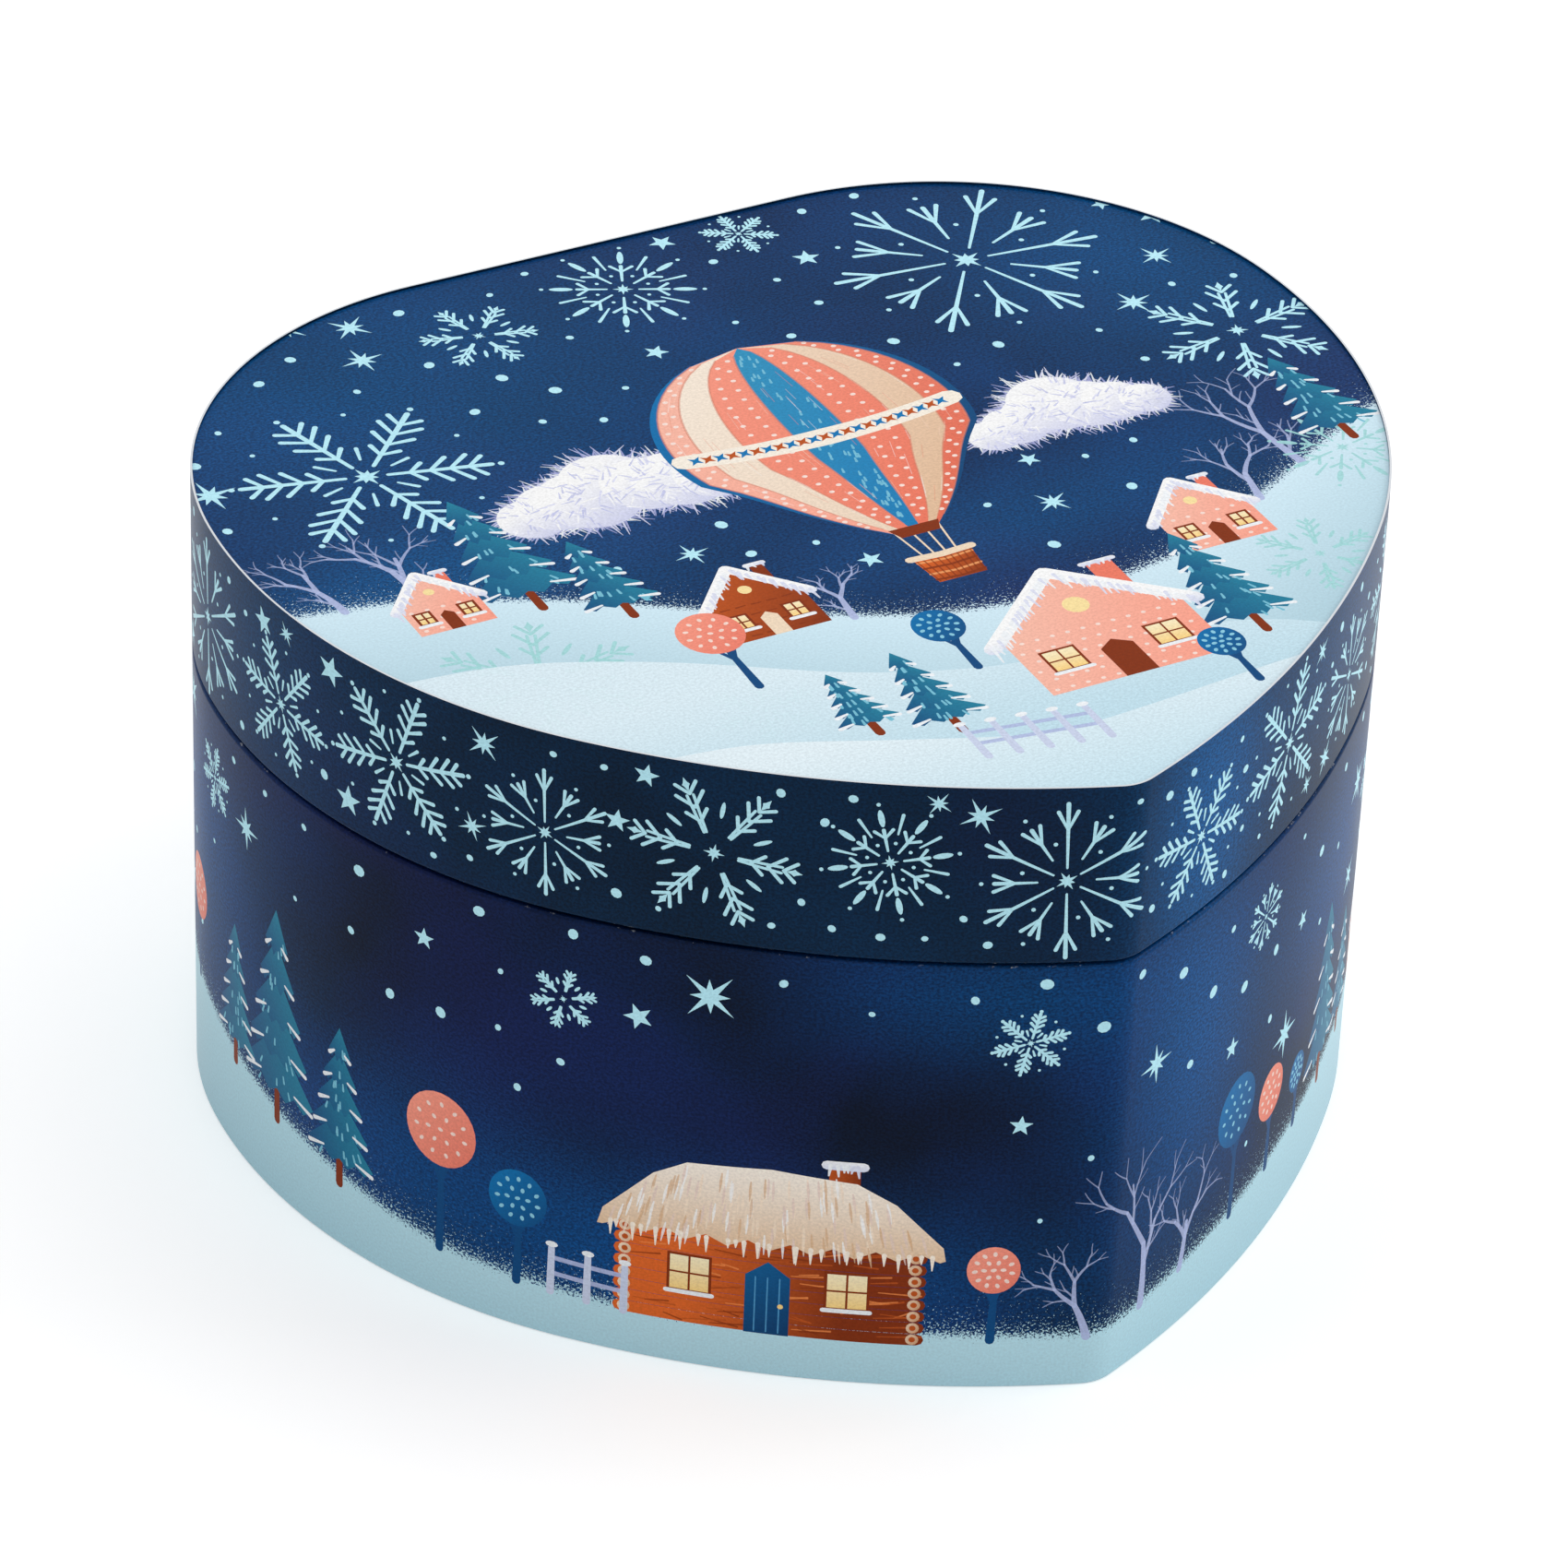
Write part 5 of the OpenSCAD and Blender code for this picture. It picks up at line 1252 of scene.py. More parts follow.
lid_print = printed_paper("lid_print", "#021a30", "#042745", "#0a64aa", "#10204a")
lid_light = glow_and_sheen_of([
    (16, 84, 13, 30, 0.75), (60, 90, 34, 16, 0.35), (-150, 84, 40, 24, 0.3), (150, 84, 60, 20, 0.3)])
lid_wrap = wrap_round(
    "lid_print_wrap", lid_art,
    [(rim_fold, lid_z, 0), (0, lid_z, 0.6), (0, top_z, 0), (-paper, top_z, 0), (-paper, lid_z + paper, 0),
     (rim_fold, lid_z + paper, 0)],
    wall=1, finish=lid_print, bank=lambda u, v: np.full(u.shape, 60.0), glow=lid_light,
    folds=(lid_z + 0.1,), cut=(top_z, top_z + 1.2))
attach(lid_wrap, "lid")
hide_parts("lid_wrap")

# ---- Top sheet ----
# The lid's picture, one more printed sheet, laid on the top board inside the standing edge:
# a striped balloon over a snowy village at night, with its up side towards the hinges.


def cloud(art, x, y, w, h, seed):
    """A cloud of soft puffs, brushed outwards with fine white and lilac hairs."""
    pick = random.Random(seed)
    puffs = []
    for i in range(7):
        t = i / 6 * 2 - 1
        r = h * (0.62 - 0.22 * abs(t)) * pick.uniform(0.85, 1.1)
        puffs.append((x + t * w * 0.4, y + (0.1 - 0.25 * abs(t)) * h + pick.uniform(-0.08, 0.08) * h, r))

    def at(px, py, reach, a):
        return px + reach * math.cos(a), py + reach * math.sin(a)

    for px, py, r in puffs:
        for i in range(int(r * 13)):
            a = i / int(r * 13) * 2 * math.pi
            length = r * pick.uniform(1.02, 1.34)
            bend = a + pick.uniform(-0.1, 0.22)
            hair = [at(px, py, 0.7 * r, a), at(px, py, 0.95 * r, a + 0.03), at(px, py, length, bend)]
            art.stroke(hair, (0.55, 0.36, 0.1), pick.choice((WHITE, "#dfe0f7", "#bfc3ea", "#a9aede")), 0.85)
    for px, py, r in puffs:
        art.oval((px, py), r * 0.94, r * 0.94, (PURE_WHITE, "#ccd0f0"), sides=26, cover=0.96,
                 fade=((px - r * 0.3, py + r * 0.4), (px + r * 0.5, py - r)))
    for px, py, r in puffs:
        for i in range(int(r * 5)):
            a, t = pick.uniform(0, 2 * math.pi), pick.uniform(0.2, 0.8)
            curl = at(px, py, t * r, a)
            art.stroke([curl, at(*curl, 0.24 * r, a + 0.3)], (0.35, 0.12),
                       pick.choice((PURE_WHITE, "#d9dbf6", "#c3c7ec")), 0.8)


def balloon(art, x, y, r):
    """A striped balloon with a wicker basket: gores that swell in the middle and meet at crown and mouth."""
    crown, mouth = y + r * 1.02, y - r * 1.28
    levels = np.linspace(crown, mouth, 30)

    def half_width(z):
        if z > y - 0.35 * r:
            return r * math.sqrt(max(0.0, 1 - ((z - y) / (1.02 * r)) ** 2))
        t = (y - 0.35 * r - z) / (y - 0.35 * r - mouth)
        return r * (0.94 - 0.78 * t ** 0.9 * (1 - 0.12 * math.sin(math.pi * t)))

    edges = [math.sin(math.radians(a)) for a in np.linspace(-90, 90, 10)]

    def on_gore(k, t, z):
        """The place on a gore at this height, at a share t of the way across."""
        return x + (edges[k] * (1 - t) + edges[k + 1] * t) * half_width(z), z

    inks = [(BLUE, DEEP_BLUE), (PALE_CORAL, CORAL), ("#fdf1e2", "#efd2b6"), (CORAL, "#ef7a60"),
            ("#3b9cc4", BLUE), (CORAL, "#ee7358"), ("#fbe6d2", "#e2b892"), (CORAL, "#e4674c"),
            (BLUE, "#083a6a")]
    for k, ink in enumerate(inks):
        left = [(x + edges[k] * half_width(z), z) for z in levels]
        right = [(x + edges[k + 1] * half_width(z), z) for z in reversed(levels)]
        art.lay(left + right, ink, ((x - r, y + r), (x + r, y - r)))
    pick = random.Random(8)
    for k in (1, 3, 5, 7):
        for z in np.arange(mouth + 3, crown - 2, 2.5):
            for t, rise in ((0.3, 0), (0.7, 1.2)):
                art.oval(on_gore(k, t, z + rise), 0.42, 0.34, "#fee6dc", sides=8)
    for _ in range(60):
        z = pick.uniform(mouth + 3, crown - 3)
        px, z = on_gore(4, pick.uniform(0.15, 0.85), z)
        art.stroke([(px, z), (px + 0.2, z + 0.9)], (0.42, 0.25), "#7cc4dd", 0.9)
    for e in edges[1:-1]:
        art.stroke([(x + e * half_width(z), z) for z in levels[1:-1]], (0.3, 0.35, 0.2), "#d9826a", 0.55)
    for _ in range(80):
        z, t, rise = pick.uniform(mouth + 4, y + r * 0.6), pick.uniform(-0.88, 0.88), pick.uniform(2, 5)
        art.stroke([(x + t * half_width(z), z), (x + t * half_width(z + rise), z + rise)], (0.12, 0.4, 0.1),
                   pick.choice((PURE_WHITE, "#e9795c", "#fbd9c8")), 0.35)
    belt = [(t, y - 0.02 * r - 2.4 * (1 - t * t)) for t in np.linspace(-0.92, 0.92, 25)]
    belt = [(x + t * half_width(z), z) for t, z in belt]
    art.stroke(belt, (3.4, 4.2, 3.4), "#fdf4e6")
    for i, place in enumerate(belt[1:-1]):
        art.star(place, (1.25,) * 4, 0.45, (BLUE, RUST)[i % 2], 0.78)
    # Ropes, the mouth's ring and the basket
    for px in (-0.15, -0.05, 0.05, 0.15):
        art.stroke([(x + px * r, mouth + 0.5), (x + px * r * 0.72, mouth - 7)], 0.3, CREAM)
    art.lay([(x - 0.17 * r, mouth + 1), (x + 0.17 * r, mouth + 1),
             (x + 0.13 * r, mouth - 1.3), (x - 0.13 * r, mouth - 1.3)], DARK_RUST)
    top, low = mouth - 6.6, mouth - 13
    art.lay([(x - 4.4, top), (x + 4.4, top), (x + 3.6, low), (x - 3.6, low)], (ORANGE, DARK_RUST),
            ((x - 3, top), (x + 4, low)))
    for i in range(4):
        z, half = top - 1.2 - 1.5 * i, 4.1 - 0.15 * i
        art.stroke([(x - half, z), (x, z - 0.35), (x + half, z)], 0.45, ("#f3a266", DARK_RUST)[i % 2], 0.9)
    for i in range(9):
        px = i / 8 * 2 - 1
        art.stroke([(x + px * 4.1, top), (x + px * 3.4, low + 0.2)], 0.25, DARK_RUST, 0.7)
    art.stroke([(x - 4.7, top), (x, top - 0.3), (x + 4.7, top)], 1.3, CREAM)


top_x = np.linspace(-84, 84, 85)
top_stops = [(-84, 6), (-66, 3), (-46, -6), (-26, -19), (-6, -29), (14, -33), (34, -30), (54, -20),
             (70, -11), (84, -5)]
top_snow = smoothed(top_x, top_stops, 5, "edge")


def top_line(x):
    """The edge of the snow on the top sheet."""
    return float(np.interp(x, top_x, top_snow))


top_art = Art()
big_flakes = ((-57, 33, 18.5, 0), (45, 50, 20, 2), (-3, 63, 11.5, 1), (70, 17, 12.5, 3), (-27, 60, 8, 3),
              (19, 70, 5.5, 0))
for x, y, r, kind in big_flakes:
    top_art.snowflake((x, y), r, kind, 0.1 * r)
top_trees = ((-64, 26, 31, 0.1), (-74, 18, 32, -0.1), (60, 27, 33, -0.12), (50, 19, 34, 0.2),
             (-14, 15, 35, 0.1))
on_top = [(4, 16, 24), (6, -12, 7), (-30, 18, 14), (38, 12, 12), (-49, 14, 9), (70, 10, 8)]
on_top += [flake[:3] for flake in big_flakes]
on_top += [(x, top_line(x) + 0.6 * height, 0.4 * height) for x, height, _, _ in top_trees]
spots = scatter((-80, -30), (80, 74), count=110, gap=7.5, keep_off=on_top, seed=41)
spots = [p for p in spots if p[1] > top_line(p[0]) + 9]
top_art.night(spots, seed=43, sizes=(0.5, 1.0), largest=4.0)
for x, height, seed, lean in top_trees:
    top_art.bare_tree((x, top_line(x)), height, seed, lean)
cloud(top_art, -28, 16, 34, 14, 3)
cloud(top_art, 37, 9, 30, 11, 4)
for x, y, r, kind in ((67, -16, 10, 1), (-58, -22, 13.5, 3), (-35, -40, 8, 0), (50, -38, 8.5, 3)):
    top_art.snowflake((x, y), r, kind, 0.2, "#a5dcdd", 0.9)
balloon(top_art, 4, 19, 22.5)


def hill(stops, light, shade):
    """A nearer hill of snow, from its ridge down past the sheet's edge."""
    x = np.linspace(stops[0][0], stops[-1][0], 40)
    y = smoothed(x, stops, 4, "edge")
    deep = y.mean() - 22
    top_art.lay([*zip(x, y), (x[-1], -90), (x[0], -90)], (light, shade), ((0, y.mean() + 3), (0, deep)), 0.92)


for x, sunk, width, height, seed in ((-50, 1, 15, 28, 51), (-40, 2, 11, 19, 52), (70, 2, 13, 22, 53)):
    top_art.fir((x, top_line(x) - sunk), width, height, seed)
top_art.house(-24, top_line(-24) - 5, 14, 9, 7.5, RUST, 54)
top_art.house(41, top_line(41) - 4, 14, 9, 7.5, CORAL, 55, dots=True)
top_art.house(-62, top_line(-62) - 7, 11, 7.5, 6, CORAL, 56, dots=True)
hill([(-84, -14), (-60, -16), (-40, -25), (-20, -38), (0, -45), (20, -44), (40, -50), (60, -70)],
     "#e3f4fc", "#c6e5f2")
top_art.round_tree((-33, -34), 4.6, 13, True, 57)
top_art.round_tree((-5, -42), 3.6, 10, False, 58)
top_art.fir((34, -50), 14, 25, 59)
top_art.house(14, -53, 27, 14, 12, CORAL, 60, dots=True)
top_art.fir((-14, -54), 11, 19, 61)
top_art.fir((-24, -50), 9, 14, 62)
hill([(-60, -44), (-40, -46), (-24, -53), (-4, -61), (12, -60), (34, -58), (60, -58)],
     "#eaf7fd", "#cae8f4")
top_art.round_tree((27, -60), 3.2, 9, False, 63)
fence(top_art, -14, 4, lambda x: -63 - 0.15 * x, 4.2)


def lay_flat(name, art, inset, face_z, back_z, finish, values, grid):
    """A printed sheet in the heart's shape, drawn in by inset. Its print faces away from back_z."""
    point, out = outline(round_steps((6, 40, 40, 44, 4))[:-1])
    lines = [[(x, -80), (x, 80)] for x in np.arange(-81, 82, grid[0])]
    lines += [[(-83, y), (83, y)] for y in np.arange(-75, 76, grid[1])]
    flat, tris, ink = imprint(art, point - inset * out, lines)
    if face_z < back_z:
        tris, ink = tris[:, ::-1], ink[:, ::-1]
    # The loop of edges that only one triangle has is the sheet's own edge
    edges = {edge for a, b, c in tris for edge in ((a, b), (b, c), (c, a))}
    follow = {a: b for a, b in edges if (b, a) not in edges}
    loop = [min(follow)]
    while follow[loop[-1]] != loop[0]:
        loop.append(follow[loop[-1]])
    foot = {v: len(flat) + i for i, v in enumerate(loop)}
    places = np.vstack([np.column_stack([flat, np.full(len(flat), face_z)]),
                        np.column_stack([flat[loop], np.full(len(loop), back_z)])])
    faces = [tuple(tri) for tri in tris]
    faces += [(b, a, foot[a], foot[b]) for a, b in zip(loop, loop[1:] + loop[:1])]
    sheet = make_mesh(name, places, [*faces, [foot[v] for v in reversed(loop)]], finish, False)
    bare = sum(len(p.vertices) for p in sheet.data.polygons) - 3 * len(tris)
    ink_on(sheet, np.vstack([ink.reshape(-1, 4), np.zeros((bare, 4))]),
           np.vstack([flat[tris].reshape(-1, 2), np.zeros((bare, 2))]), values(places[:, 0], places[:, 1]))
    return sheet


def top_values(x, y):
    """The top print's height above the snow line and its airbrushed light. Its edges aren't worn."""
    return {"bank": y - np.interp(x, top_x, top_snow), "glow": top_light(x, y), "worn": np.zeros(len(x))}


top_light = glow_and_sheen_of([
    (-50, 50, 60, 40, 0.5), (70, 40, 34, 40, 0.45), (-60, 4, 30, 14, 0.5), (20, -14, 50, 14, 0.35)])
top_print = printed_paper("top_print", "#05204a", "#0b3062", "#0c5f98", "#22265c")
sheet_z = 96.6
top_sheet = lay_flat("top_print_sheet", top_art, paper, sheet_z, sheet_z - paper, top_print, top_values,
                     (3.0, 6.0))
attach(top_sheet, "lid")
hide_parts("lid_top_sheet")

# ---- Lid ceiling ----
# The card inside the lid, covered with pale blue paper that is printed with small white
# snowflakes. It is cut to fit inside the lining and is glued under the top board.

ceiling_art = Art()
pick = random.Random(5)
for row in range(-5, 6):
    for col in range(-5, 6):
        x, y = col * 17.0 + (8.5 if row % 2 else 0), row * 14.5
        if abs(x) > 40 or not -22 < y < 45:    # clear of the mirror
            r, kind = 4.8 if (row + col) % 2 else 3.4, (row * 3 + col) % 4
            ceiling_art.snowflake((x, y), r, kind, pick.uniform(0, 1), PURE_WHITE)
            ceiling_art.star((x + 8.5, y), (1.3,) * 5, 0.55, "#eaf6fb", pick.uniform(0, 1))


def printed_card(name, colour):
    """Uncoated paper with white ink printed on a pale ground, and fibres drawn 0.5 mm wide."""
    finish, tree, surface = start_finish(name)
    fibres = add(tree, "ShaderNodeTexNoise", {"Vector": print_place(tree), "Scale": 2.2, "Detail": 4.0})
    ink = add(tree, "ShaderNodeAttribute", attribute_name="ink")
    face = add(tree, "ShaderNodeMix", {
        0: (ink, "Alpha"), 6: linear(colour), 7: (ink, "Color")}, data_type="RGBA")
    face = vary(tree, (face, 2), fibres, (0.3, 0.7), (0.94, 1.03))
    felt = add(tree, "ShaderNodeBump", {"Height": fibres, "Strength": 0.1, "Distance": 0.0001})
    join(tree, surface, {"Base Color": face, "Roughness": 0.62, "Normal": felt, "Specular IOR Level": 0.3})
    return finish


low, high = box_mm("lid_ceiling")
ceiling = lay_flat("snowflake_ceiling", ceiling_art, 3.2, low[2], high[2],
                   printed_card("ceiling_card", "#9fc6e2"), lambda x, y: {}, (20.0, 20.0))
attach(ceiling, "lid")
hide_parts("lid_ceiling")

# ---- Mirror ----
# A float-glass mirror with rounded corners under the ceiling card, held by a pressed brass
# frame. A row of beads is rolled into the frame all the way round.

glass, tree, surface = start_finish("silvered_glass")
place = add(tree, "ShaderNodeTexCoord")
film = add(tree, "ShaderNodeTexNoise", {"Vector": (place, "Object"), "Scale": 45.0, "Detail": 3.0})
haze = add(tree, "ShaderNodeMapRange", {
    "Value": film, "From Min": 0.45, "From Max": 0.8, "To Min": 0.01, "To Max": 0.06})
join(tree, surface, {"Base Color": linear("#dfe8ea"), "Metallic": 1.0, "Roughness": haze,
                     "Coat Weight": 0.5, "Coat Roughness": 0.01})
dress(glass, "lid_mirror")
soften("mirror_frame", "brass_mirror_frame", 0.25, brass, "lid")


def start_tree(name, inputs):
    """A Geometry Nodes tree with these inputs and a finish, and one mesh out."""
    tree = bpy.data.node_groups.new(name, "GeometryNodeTree")
    tree.interface.new_socket("Geometry", in_out="OUTPUT", socket_type="NodeSocketGeometry")
    for label, kind in {**inputs, "Finish": "Material"}.items():
        tree.interface.new_socket(label, in_out="INPUT", socket_type="NodeSocket" + kind)
    return tree, add(tree, "NodeGroupInput")


def bead_tree():
    """A row of beads along a rounded rectangle. Inputs: width, depth, corner, bead and gap, in metres."""
    tree, given = start_tree("bead_row", dict.fromkeys(("Width", "Depth", "Corner", "Bead", "Gap"), "Float"))
    frame_line = add(tree, "GeometryNodeCurvePrimitiveQuadrilateral", {
        "Width": (given, "Width"), "Height": (given, "Depth")})
    rounded = add(tree, "GeometryNodeFilletCurve", {
        "Curve": frame_line, "Radius": (given, "Corner"), "Count": 12}, mode="POLY")
    spaced = add(tree, "GeometryNodeCurveToPoints", {
        "Curve": rounded, "Length": (given, "Gap")}, mode="LENGTH")
    bead = add(tree, "GeometryNodeMeshIcoSphere", {"Radius": (given, "Bead"), "Subdivisions": 2})
    row = add(tree, "GeometryNodeInstanceOnPoints", {"Points": spaced, "Instance": bead})
    real = add(tree, "GeometryNodeRealizeInstances", {"Geometry": row})
    smooth = add(tree, "GeometryNodeSetShadeSmooth", {"Geometry": real})
    dressed = add(tree, "GeometryNodeSetMaterial", {"Geometry": smooth, "Material": (given, "Finish")})
    add(tree, "NodeGroupOutput", {"Geometry": dressed})
    return tree


def grow(name, tree, values, centre, finish, places=()):
    """Runs a node tree with these inputs on these places, as a plain mesh moved by centre, in millimetres."""
    mesh = bpy.data.meshes.new(name)
    mesh.from_pydata([tuple(c * MM for c in p) for p in places], [], [])
    holder = in_scene(name, mesh)
    nodes = holder.modifiers.new("nodes", "NODES")
    nodes.node_group = tree
    sockets = {s.name: s.identifier for s in tree.interface.items_tree if s.in_out == "INPUT"}
    for label, value in {**values, "Finish": finish}.items():
        nodes[sockets[label]] = value
    settle(holder)
    holder.data.transform(Matrix.Translation(Vector(centre) * MM))
    holder.data.materials.clear()
    holder.data.materials.append(finish)
    return holder


low, high = box_mm("mirror_frame")
frame_rim = 1.8    # from the frame's edge to the middle of the beads
bead_sizes = {"Width": high[0] - low[0] - 2 * frame_rim, "Depth": high[1] - low[1] - 2 * frame_rim,
              "Corner": 10.2, "Bead": 0.6, "Gap": 1.45}
beads = grow("mirror_beads", bead_tree(), {label: float(size * MM) for label, size in bead_sizes.items()},
             (0, (low[1] + high[1]) / 2, low[2] + 0.12), brass)
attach(beads, "lid")

# ---- Ribbon stay ----
# A satin ribbon glued inside the base and the lid on the right, which stops the lid at a
# hundred degrees. It is drawn so that it is straight and flat when the lid is fully open.

hinge_y, hinge_z = 77.266, 69.3
opening = math.radians(100)
anchor_y, rise = 20.0, 5.0    # the tacks, and how far each is from the seam
lining_in = 3.1    # from the wrap's face in to the lining's
bend_low, bend_high = hinge_z - rise, hinge_z + rise
anchor_r, anchor_angle = math.hypot(hinge_y - anchor_y, rise), math.atan2(rise, hinge_y - anchor_y)


def shut_place(y, z):
    """Where a point of the open lid's ribbon lies when the lid is shut."""
    r, open_angle = math.hypot(hinge_y - y, z - hinge_z), math.atan2(z - hinge_z, hinge_y - y)
    low_a, high_a = -math.pi / 2, math.pi / 2
    for _ in range(48):
        a = (low_a + high_a) / 2
        t = min(max((r * math.sin(a) + rise) / (2 * rise), 0.0), 1.0)
        if a + opening * t * t * (3 - 2 * t) < open_angle:
            low_a = a
        else:
            high_a = a
    return hinge_y - r * math.cos(a), hinge_z + r * math.sin(a)


def beside_wall(y, gap):
    """How far to the right the lining is at y, less a gap."""
    centre, r = heart_arcs[3][0], heart_arcs[3][1] - lining_in - gap
    return centre[0] + math.sqrt(r * r - (y - centre[1]) ** 2)


def woven_satin(name, colour, shade):
    """Polyester satin, silky with matt selvedges. Its cross ribs are drawn 0.7 mm apart so that they show."""
    finish, tree, surface = start_finish(name)
    across = add(tree, "ShaderNodeSeparateXYZ", {0: add(tree, "ShaderNodeUVMap", uv_map="weave")})
    weft = add(tree, "ShaderNodeMath", {0: (across, "X"), 1: 900.0}, operation="MULTIPLY")
    floats = add(tree, "ShaderNodeMath", {0: weft}, operation="SINE")
    from_edge = add(tree, "ShaderNodeMath", {0: (across, "Y"), 1: 0.5}, operation="SUBTRACT")
    from_edge = add(tree, "ShaderNodeMath", {0: from_edge}, operation="ABSOLUTE")
    selvedge = add(tree, "ShaderNodeMapRange", {"Value": from_edge, "From Min": 0.42, "From Max": 0.45})
    tone = add(tree, "ShaderNodeMix", {0: selvedge, 6: linear(colour), 7: linear(shade)}, data_type="RGBA")
    ridge = add(tree, "ShaderNodeBump", {"Height": floats, "Strength": 0.15, "Distance": 0.0001})
    rough = add(tree, "ShaderNodeMapRange", {"Value": selvedge, "To Min": 0.32, "To Max": 0.75})
    join(tree, surface, {"Base Color": (tone, 2), "Roughness": rough, "Normal": ridge, "Sheen Weight": 0.3})
    return finish


ends = [np.array([hinge_y - anchor_r * math.cos(a), hinge_z + anchor_r * math.sin(a)])
        for a in (-anchor_angle, opening + anchor_angle)]
length = np.linalg.norm(ends[1] - ends[0])
along = (ends[1] - ends[0]) / length
across = np.array([-along[1], along[0]])
ribbon_w, half_thick, past_tack, off_wall = 8, 0.15, 3, 1.3
runs = np.linspace(-past_tack, length + past_tack, 90)
widths = np.linspace(-ribbon_w / 2, ribbon_w / 2, 9)
ribbon_places, ribbon_uv = [], []
for layer in (-half_thick, half_thick):
    for s in runs:
        for w in widths:
            y, z = shut_place(*(ends[0] + along * s + across * w))
            ribbon_places.append((beside_wall(y, off_wall) + layer, y, z))
            ribbon_uv.append((s / UV_MM, (w + ribbon_w / 2) / ribbon_w))
n, m = len(runs), len(widths)
back = n * m    # the first corner of the second face
ribbon_faces = []
for i in range(n - 1):
    for j in range(m - 1):
        a, b, c, d = i * m + j, i * m + j + 1, (i + 1) * m + j + 1, (i + 1) * m + j
        ribbon_faces += [(a, b, c, d), (back + d, back + c, back + b, back + a)]
edge = [j for j in range(m)] + [i * m + m - 1 for i in range(1, n)]
edge += [(n - 1) * m + j for j in reversed(range(m - 1))] + [i * m for i in reversed(range(1, n - 1))]
ribbon_faces += [(b, a, back + a, back + b) for a, b in zip(edge, edge[1:] + edge[:1])]
satin = woven_satin("coral_satin", "#f4846e", "#d9644f")
ribbon = make_mesh("satin_ribbon", ribbon_places, ribbon_faces, satin)
weave = ribbon.data.uv_layers.new(name="weave")
order = np.array([loop.vertex_index for loop in ribbon.data.loops])
weave.data.foreach_set("uv", np.array(ribbon_uv, np.float32)[order].ravel())
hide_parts("ribbon_stay")
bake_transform(ribbon)
tack_steps = ((0.2, 0.6), (-1.3, 0.6), (-1.42, 2.1), (-1.9, 2.0), (-2.25, 1.3), (-2.35, 0.3))
for body, z in (("case", bend_low), ("lid", bend_high)):
    x = beside_wall(anchor_y, 0)
    stem = tube([(x + step, anchor_y, z) for step, _ in tack_steps], [r for _, r in tack_steps], 28)
    tack = face_out(make_mesh(f"ribbon_tack_{body}", *stem, brass))
    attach(tack, body)

# ---- Hinges ----
# Two pressed brass butt hinges on the outside of the back, each leaf rolled round a steel pin
# and held by two slotted screws into the board.

soften("hinge_base_leaves", "brass_base_leaves", 0.12, brass, "case")
soften("hinge_lid_leaves", "brass_lid_leaves", 0.12, brass, "lid")


def screw_tree():
    """A slotted screw on each point, turned by chance. Inputs, in metres: radius and height of its head,
    radius and length of its shank, and its axis."""
    sizes = dict.fromkeys(("Head", "Height", "Shank", "Length"), "Float")
    tree, given = start_tree("slotted_screws", {"Geometry": "Geometry", **sizes, "Axis": "Vector"})
    head, height, shank_r = ((given, label) for label in ("Head", "Height", "Shank"))
    half, quarter, crown, wide, narrow, down = (
        add(tree, "ShaderNodeMath", {0: (given, label), 1: share}, operation="MULTIPLY")
        for label, share in (("Height", 0.5), ("Height", 0.25), ("Head", 0.84), ("Head", 3.0), ("Head", 0.3),
                             ("Length", -0.49)))
    lower = add(tree, "GeometryNodeMeshCylinder", {"Vertices": 36, "Radius": head, "Depth": half})
    upper = add(tree, "GeometryNodeMeshCone", {
        "Vertices": 36, "Radius Top": crown, "Radius Bottom": head, "Depth": half})
    blade = add(tree, "GeometryNodeMeshCube", {
        "Size": add(tree, "ShaderNodeCombineXYZ", {"X": wide, "Y": narrow, "Z": height})})
    shank = add(tree, "GeometryNodeMeshCylinder", {
        "Vertices": 20, "Radius": shank_r, "Depth": (given, "Length")})
    lower, upper, blade, shank = (
        add(tree, "GeometryNodeTransform", {
            "Geometry": shape, "Translation": add(tree, "ShaderNodeCombineXYZ", {"Z": z})})
        for shape, z in ((lower, quarter), (upper, half), (blade, height), (shank, down)))
    whole = add(tree, "GeometryNodeMeshBoolean", {1: [lower, upper]}, operation="UNION", solver="EXACT")
    slotted = add(tree, "GeometryNodeMeshBoolean", {
        0: whole, 1: blade}, operation="DIFFERENCE", solver="EXACT")
    screw = add(tree, "GeometryNodeJoinGeometry", {0: [slotted, shank]})
    facing = add(tree, "FunctionNodeAlignRotationToVector", {"Vector": (given, "Axis")}, axis="Z")
    chance = add(tree, "FunctionNodeRandomValue", {"Seed": 7, 3: math.pi}, data_type="FLOAT")
    spin = add(tree, "ShaderNodeCombineXYZ", {"Z": (chance, 1)})
    turned = add(tree, "FunctionNodeRotateRotation", {
        "Rotation": facing, "Rotate By": spin}, rotation_space="LOCAL")
    placed = add(tree, "GeometryNodeInstanceOnPoints", {
        "Points": (given, "Geometry"), "Instance": screw, "Rotation": turned})
    real = add(tree, "GeometryNodeRealizeInstances", {"Geometry": placed})
    dressed = add(tree, "GeometryNodeSetMaterial", {"Geometry": real, "Material": (given, "Finish")})
    add(tree, "NodeGroupOutput", {"Geometry": dressed})
    return tree


slotted_screws = screw_tree()


def fit_screws(name, node, body, places, axis, **sizes):
    """Slotted steel screws in place of a node's plain ones. A place is where a head meets its seat."""
    values = {label.capitalize(): size * MM for label, size in sizes.items()}
    piece = grow(name, slotted_screws, {**values, "Axis": axis}, (0, 0, 0), steel, places)
    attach(piece, body)
    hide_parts(node)


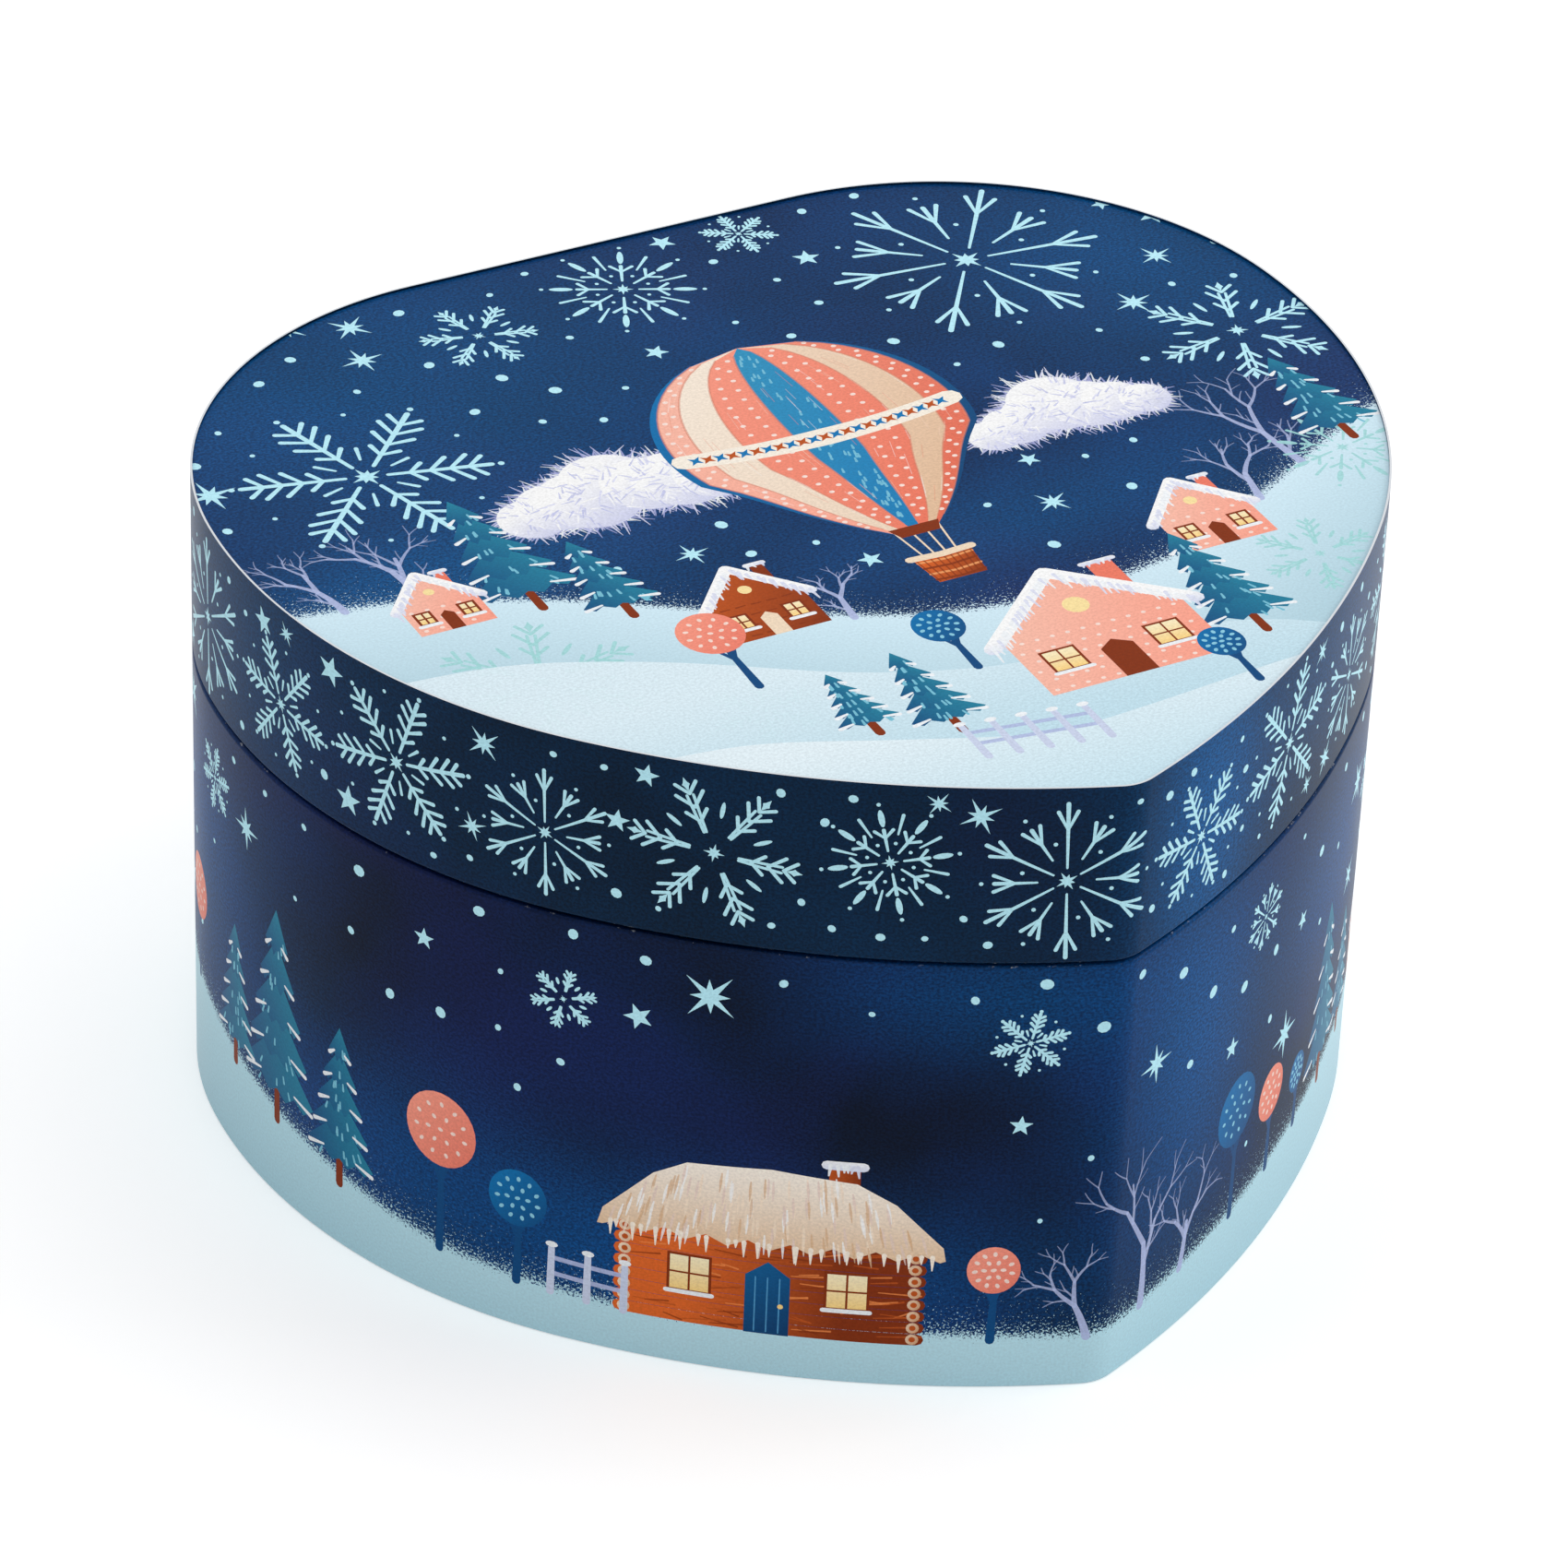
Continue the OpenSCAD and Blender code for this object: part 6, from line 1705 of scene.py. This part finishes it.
hinge_x = [side * 18 + way * 5.31 for side in (-1, 1) for way in (-1, 1)]
leaf_face = 76.47
for name, node, body, z in (("slotted_base_screws", "hinge_base_screws", "case", 64.02),
                            ("slotted_lid_screws", "hinge_lid_screws", "lid", 74.58)):
    fit_screws(name, node, body, [(x, leaf_face, z) for x in hinge_x], (0, 1, 0),
               head=1.26, height=0.35, shank=0.75, length=2.7)
plate_face = 70.77
fit_screws("slotted_bedplate_screws", "bedplate_screws", "case",
           [(x, plate_face, z) for x in (-22, 22) for z in (8.61, 49.59)], (0, -1, 0),
           head=1.8, height=1.2, shank=1.2, length=4.3)

# ---- Winding key ----
# A cast brass butterfly key screwed on the spring's shaft, tumbled smooth so that every edge
# is round, and a turned brass plate on the back that guards its hole.

soften("winding_key", "brass_butterfly_key", 0.4, brass, "winding", False)
soften("key_escutcheon", "brass_key_plate", 0.2, brass, "case")

# ---- Studio ----
# A white floor and a white room, with a large softbox overhead and a smaller one on each side.
# The light is even and soft, a little stronger from the right.

lens = bpy.data.cameras.new("camera")
lens.lens, lens.sensor_width, lens.clip_end = 174.59, 36.0, 10.0
camera = in_scene("camera", lens)
turn, tilt, roll_angle = math.radians(-29.32), math.radians(34.01), math.radians(2.336)
aim, distance = Vector((-5.87, 6.01, 48.5)) * MM, 1.05165
back = Vector((math.sin(turn) * math.cos(tilt), -math.cos(turn) * math.cos(tilt), math.sin(tilt)))
right = Vector((math.cos(turn), math.sin(turn), 0))
up = back.cross(right)
wide = math.cos(roll_angle) * right + math.sin(roll_angle) * up
high = -math.sin(roll_angle) * right + math.cos(roll_angle) * up
camera.matrix_world = Matrix((wide, high, back)).transposed().to_4x4()
camera.location = aim + back * distance
bpy.context.scene.camera = camera


def looked_at(tree):
    """1 where the camera sees a thing straight, mirrored or through glass, and 0 for the light it casts."""
    rays = add(tree, "ShaderNodeLightPath")
    seen = add(tree, "ShaderNodeMath", {
        0: (rays, "Is Camera Ray"), 1: (rays, "Is Glossy Ray")}, operation="MAXIMUM")
    return add(tree, "ShaderNodeMath", {0: seen, 1: (rays, "Is Transmission Ray")}, operation="MAXIMUM")


floor_finish, tree, surface = start_finish("studio_floor")
join(tree, surface, {"Base Color": linear("#fbfbfb"), "Roughness": 0.9, "Specular IOR Level": 0.0})
lift = add(tree, "ShaderNodeMath", {0: looked_at(tree), 1: 0.3}, operation="MULTIPLY")
join(tree, surface, {"Emission Color": (1, 1, 1, 1), "Emission Strength": lift})
far = 4000
floor = make_mesh("studio_floor", [(x, y, 0) for x, y in rectangle(-far, -far, far, far)],
                  [(0, 1, 2, 3)], floor_finish, False)

world = bpy.data.worlds.new("studio")
world.use_nodes = True
bpy.context.scene.world = world
tree = world.node_tree
level = add(tree, "ShaderNodeMapRange", {"Value": looked_at(tree), "To Min": 0.5, "To Max": 1.0})
join(tree, tree.nodes["Background"], {"Color": (1, 1, 1, 1), "Strength": level})

for name, place, size, power in (
    ("overhead", (0.1, 0.1, 1.5), 1.4, 8.6),
    ("right_side", (1.2, -0.5, 0.7), 0.8, 4.8),
    ("front_left", (-0.9, -1.3, 0.8), 0.8, 1.7),
):
    lamp = bpy.data.lights.new(name, "AREA")
    lamp.size, lamp.energy = size, power
    softbox = in_scene(name, lamp)
    softbox.location = place
    softbox.rotation_euler = (Vector(place) - Vector((0, 0, 0.05))).to_track_quat("Z", "Y").to_euler()

bpy.context.scene.view_settings.view_transform = "Standard"
